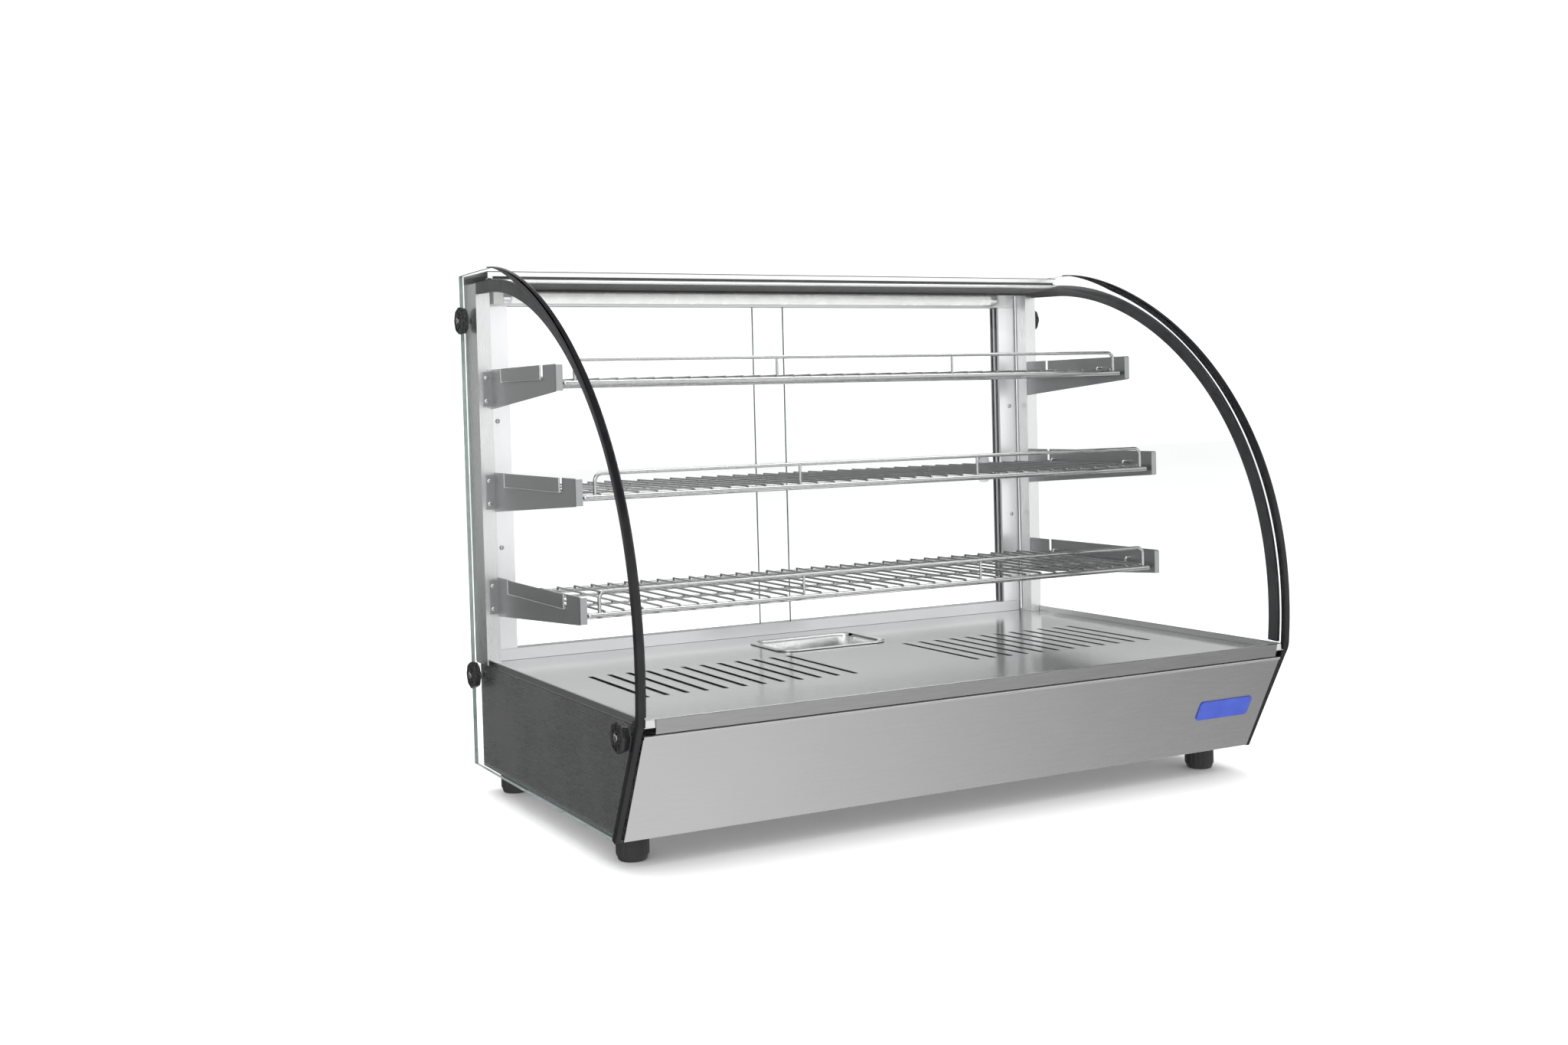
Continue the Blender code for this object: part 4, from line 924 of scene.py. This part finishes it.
# ---------------------------------------------------------------- rear controls and small metalwork
def heating_elements():
    """A sheathed rod in four runs under each group of slots."""
    near, far = -0.110, 0.060
    for side, sign in SIDES.items():
        low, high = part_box(f"heating_element_{side}")
        centre = sign * sum(SLOT_X) / 2
        z = (low.z + high.z) / 2
        runs = zip((-0.105, -0.035, 0.035, 0.105), ((high.y, near), (near, far), (far, near), (near, high.y)))
        points = [(centre + across, y, z) for across, ends in runs for y in ends]

        def build(bm):
            add_tube(bm, rounded_route(points, 0.020, 8), 0.0038, 14)
        piece(f"element_rod_{side}", build, "case", "sheath", [f"heating_element_{side}"])


def dial():
    """The thermostat dial with a knurled skirt, a raised grip and a white pointer, and its printed scale."""
    low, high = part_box("thermostat_dial")
    centre = ((low.x + high.x) / 2, (low.z + high.z) / 2)
    y = low.y

    def knurl(angle, r):
        return 1 - (0.02 * (1 - math.cos(24 * angle)) if r > 0.0185 else 0)

    def build(bm):
        add_lathe(bm, [(0.0186, y), (0.0187, y + 0.0050), (0.0180, y + 0.0066), (0.0160, y + 0.0070),
                       (0.0030, y + 0.0072)], centre, "Y", 144, knurl)
        grip = rounded_rectangle(centre, (0.0098, 0.0336), 0.0032, 5)
        add_prism(bm, grip, (y + 0.0060, high.y - 0.0008), "Y")
    piece("dial_body", build, "thermostat_dial", "knob", ["thermostat_dial"], bevel=0.0006)
    pointer = rounded_rectangle((centre[0], centre[1] + 0.0095), (0.0016, 0.0120), 0.0007, 3)
    prism_piece("dial_pointer", pointer, (high.y - 0.0012, high.y - 0.0005), "Y", "thermostat_dial",
                "print")
    panel_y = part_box("rear_panel")[1].y

    def build_scale(bm):
        for k in range(10):
            reach = 0.0250 if k % 3 else 0.0265
            tick = spoke(centre, math.radians(90 - 30 * k),
                         ((0.0215, -0.0004), (reach, -0.0004), (reach, 0.0004), (0.0215, 0.0004)))
            add_prism(bm, tick, (panel_y + 0.0001, panel_y + 0.0003), "Y")
    piece("dial_scale", build_scale, "case", "rocker")


def screws():
    """Pan-head screws on the bracket heels, on the front of the door jambs and along the rear panel."""
    spots = []
    for level in LEVELS:
        for side, sign in SIDES.items():
            low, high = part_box(f"shelf_bracket_{level}_{side}")
            for z in (low.z + 0.012, high.z - 0.012):
                spots.append((sign * 0.4825, high.y - 0.0017, z, -1))
    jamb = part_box("door_jamb_left")
    for sign in SIDES.values():
        for z in (0.540, 0.355):
            spots.append((sign * 0.4565, jamb[0].y, z, -1))
    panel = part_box("rear_panel")
    for x in (-0.470, -0.235, 0.0, 0.235, 0.470):
        for z in (panel[0].z + 0.010, panel[1].z - 0.010):
            spots.append((x, panel[1].y, z, 1))

    def build(bm):
        for x, y, z, sign in spots:
            add_lathe(bm, [(0.0034, y), (0.0034, y + sign * 0.0008), (0.0028, y + sign * 0.0017),
                           (0.0014, y + sign * 0.0021), (0.0011, y + sign * 0.0012)], (x, z), "Y", 20)
    piece("panel_screws", build, "case", "screw", sharp=50)


def rockers():
    """Each cap has a slightly hollow face and stands tipped to one side at rest."""
    for name in ("power", "light"):
        low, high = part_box(f"{name}_switch_rocker")
        centre = (low + high) / 2
        tip = Matrix.Rotation(math.radians(9), 2)
        pivot = Vector((centre.y - 0.0001, centre.z))
        face, half = 0.0026, 0.0083
        crown = [(-0.0050, -0.0079), (face, -half)]
        crown += [(face + 0.0008 * math.sin(math.pi * abs(k - 5) / 10) ** 2, -half + half * k / 5)
                  for k in range(1, 10)]
        crown += [(face, half), (-0.0050, 0.0079)]
        prism_piece(f"{name}_rocker_cap", [pivot + tip @ Vector(p) for p in crown], (low.x, high.x), "X",
                    f"{name}_rocker", "rocker", [f"{name}_switch_rocker"], 0.0005)


heating_elements()
dial()
screws()
rockers()


# ---------------------------------------------------------------- CAD nodes that keep their shape
KEPT = {
    "base_pan": ("panel", 0.0), "rear_panel": ("panel", 0.0), "wiring_bulkhead": ("panel", 0.0),
    "door_track_top": ("track", 0.0003), "door_track_bottom": ("track", 0.0003),
    "lamp_carrier": ("enamel", 0.0006), "thermostat_body": ("grey_plastic", 0.0008),
    "power_switch_housing": ("rocker", 0.0005), "light_switch_housing": ("rocker", 0.0005),
    "pilot_light": ("amber", 0.0), "cable_gland": ("knob", 0.0004), "name_plate": ("blue_enamel", 0.0004),
}
for side_name in SIDES:
    KEPT[f"base_side_{side_name}"] = ("side_panel", 0.0)
    KEPT[f"corner_post_{side_name}"] = ("post", 0.0004)
    KEPT[f"door_jamb_{side_name}"] = ("aluminium", 0.0003)
    KEPT[f"door_pull_{side_name}"] = ("aluminium", 0.0006)
for node_name, (look, width) in KEPT.items():
    surfaced(frame["nodes"][node_name], look, width)


# ---------------------------------------------------------------- floor, light and camera
def stage():
    """A pale floor, which reflections don't show."""
    mesh = bpy.data.meshes.new("studio_floor")
    bm = bmesh.new()
    bmesh.ops.create_grid(bm, x_segments=2, y_segments=2, size=12)
    bm.to_mesh(mesh)
    bm.free()
    made, nodes, links, shader = tree_of("pale_floor")
    links.new(ramp(nodes, links, noise(nodes, links, 0.8, 2.0), neutral(0.86), neutral(0.89)),
              shader.inputs["Base Color"])
    set_inputs(shader, Roughness=0.7, Specular_IOR_Level=0.2)
    path = nodes.new("ShaderNodeLightPath")
    mirrored = arithmetic(nodes, links, "GREATER_THAN", path.outputs["Glossy Depth"], 0.5)
    through = nodes.new("ShaderNodeBsdfTransparent")
    surface = mixed(nodes, links, mirrored, shader.outputs["BSDF"], through.outputs["BSDF"])
    links.new(surface, nodes["Material Output"].inputs["Surface"])
    mesh.materials.append(made)
    placed("studio_floor", mesh)


def area(name, location, target, size, power):
    data = bpy.data.lights.new(name, "AREA")
    data.shape = "RECTANGLE"
    data.size, data.size_y = size
    data.energy = power
    obj = placed(name, data)
    obj.visible_glossy = False
    obj.location = location
    obj.rotation_euler = (Vector(target) - Vector(location)).to_track_quat("-Z", "Y").to_euler()


def world():
    """Even white, except in reflections, which show a studio that is darker or brighter in places."""
    studio = bpy.data.worlds.new("studio")
    studio.use_nodes = True
    nodes, links = studio.node_tree.nodes, studio.node_tree.links
    place = nodes.new("ShaderNodeTexCoord")
    split = nodes.new("ShaderNodeSeparateXYZ")
    links.new(place.outputs["Generated"], split.inputs["Vector"])

    def fade(axis, start, end):
        """0 before start and 1 after end, for the direction's part along the axis."""
        return spread(nodes, links, split.outputs[axis], float(start > end), float(start < end),
                      (min(start, end), max(start, end)), "SMOOTHSTEP")

    def times(*factors):
        result = factors[0]
        for factor in factors[1:]:
            result = arithmetic(nodes, links, "MULTIPLY", result, factor)
        return result

    back_left = (fade("X", 0.02, -0.15), fade("Y", -0.1, 0.3))
    zones = (  # how much darker, and where
        (0.88, times(*back_left, fade("Z", -0.085, -0.115))),
        (0.55, times(*back_left, fade("Z", -0.115, -0.085))),
        (-0.20, times(fade("Y", -0.60, -0.80), fade("Z", -0.35, -0.15))),
        (0.62, times(fade("X", 0.38, 0.72), fade("Y", 0.2, -0.1), fade("Z", -0.15, -0.35))),
        (0.85, times(fade("X", 0.10, 0.30), fade("Y", 0.25, 0.50), fade("Z", -0.45, -0.20),
                     fade("Z", 0.20, 0.10))),
        (0.85, fade("Z", 0.20, 0.70)),
    )
    level = 1.0
    for depth, zone in zones:
        level = arithmetic(nodes, links, "MULTIPLY_ADD", zone, -depth, level)
    reflected = nodes["Background"]
    set_inputs(reflected, Color=(1, 1, 1, 1))
    links.new(level, reflected.inputs["Strength"])
    plain = nodes.new("ShaderNodeBackground")
    set_inputs(plain, Color=(1, 1, 1, 1), Strength=1.25)
    path = nodes.new("ShaderNodeLightPath")
    direct = arithmetic(nodes, links, "LESS_THAN", path.outputs["Glossy Depth"], 0.5)
    either = arithmetic(nodes, links, "MAXIMUM", direct, path.outputs["Is Diffuse Ray"])
    surface = mixed(nodes, links, either, reflected.outputs["Background"], plain.outputs["Background"])
    links.new(surface, nodes["World Output"].inputs["Surface"])
    bpy.context.scene.world = studio
    bpy.context.scene.view_settings.view_transform = "Standard"


def camera():
    data = bpy.data.cameras.new("camera")
    data.lens = CAMERA_LENS
    data.shift_x, data.shift_y = CAMERA_SHIFT
    data.clip_end = 100
    obj = placed("camera", data)
    obj.matrix_world = (Matrix.Translation(CAMERA_AT)
                        @ Matrix.Rotation(math.radians(CAMERA_YAW), 4, "Z")
                        @ Matrix.Rotation(math.radians(90 + CAMERA_PITCH), 4, "X")
                        @ Matrix.Rotation(math.radians(CAMERA_ROLL), 4, "Z"))
    bpy.context.scene.camera = obj


stage()
world()
area("top_softbox", (0, -0.3, 3.4), (0, 0, 0), (5.0, 4.0), 160)
area("fill_softbox", (-3.0, -2.6, 2.2), (0, 0, 0.3), (2.0, 2.0), 30)
camera()
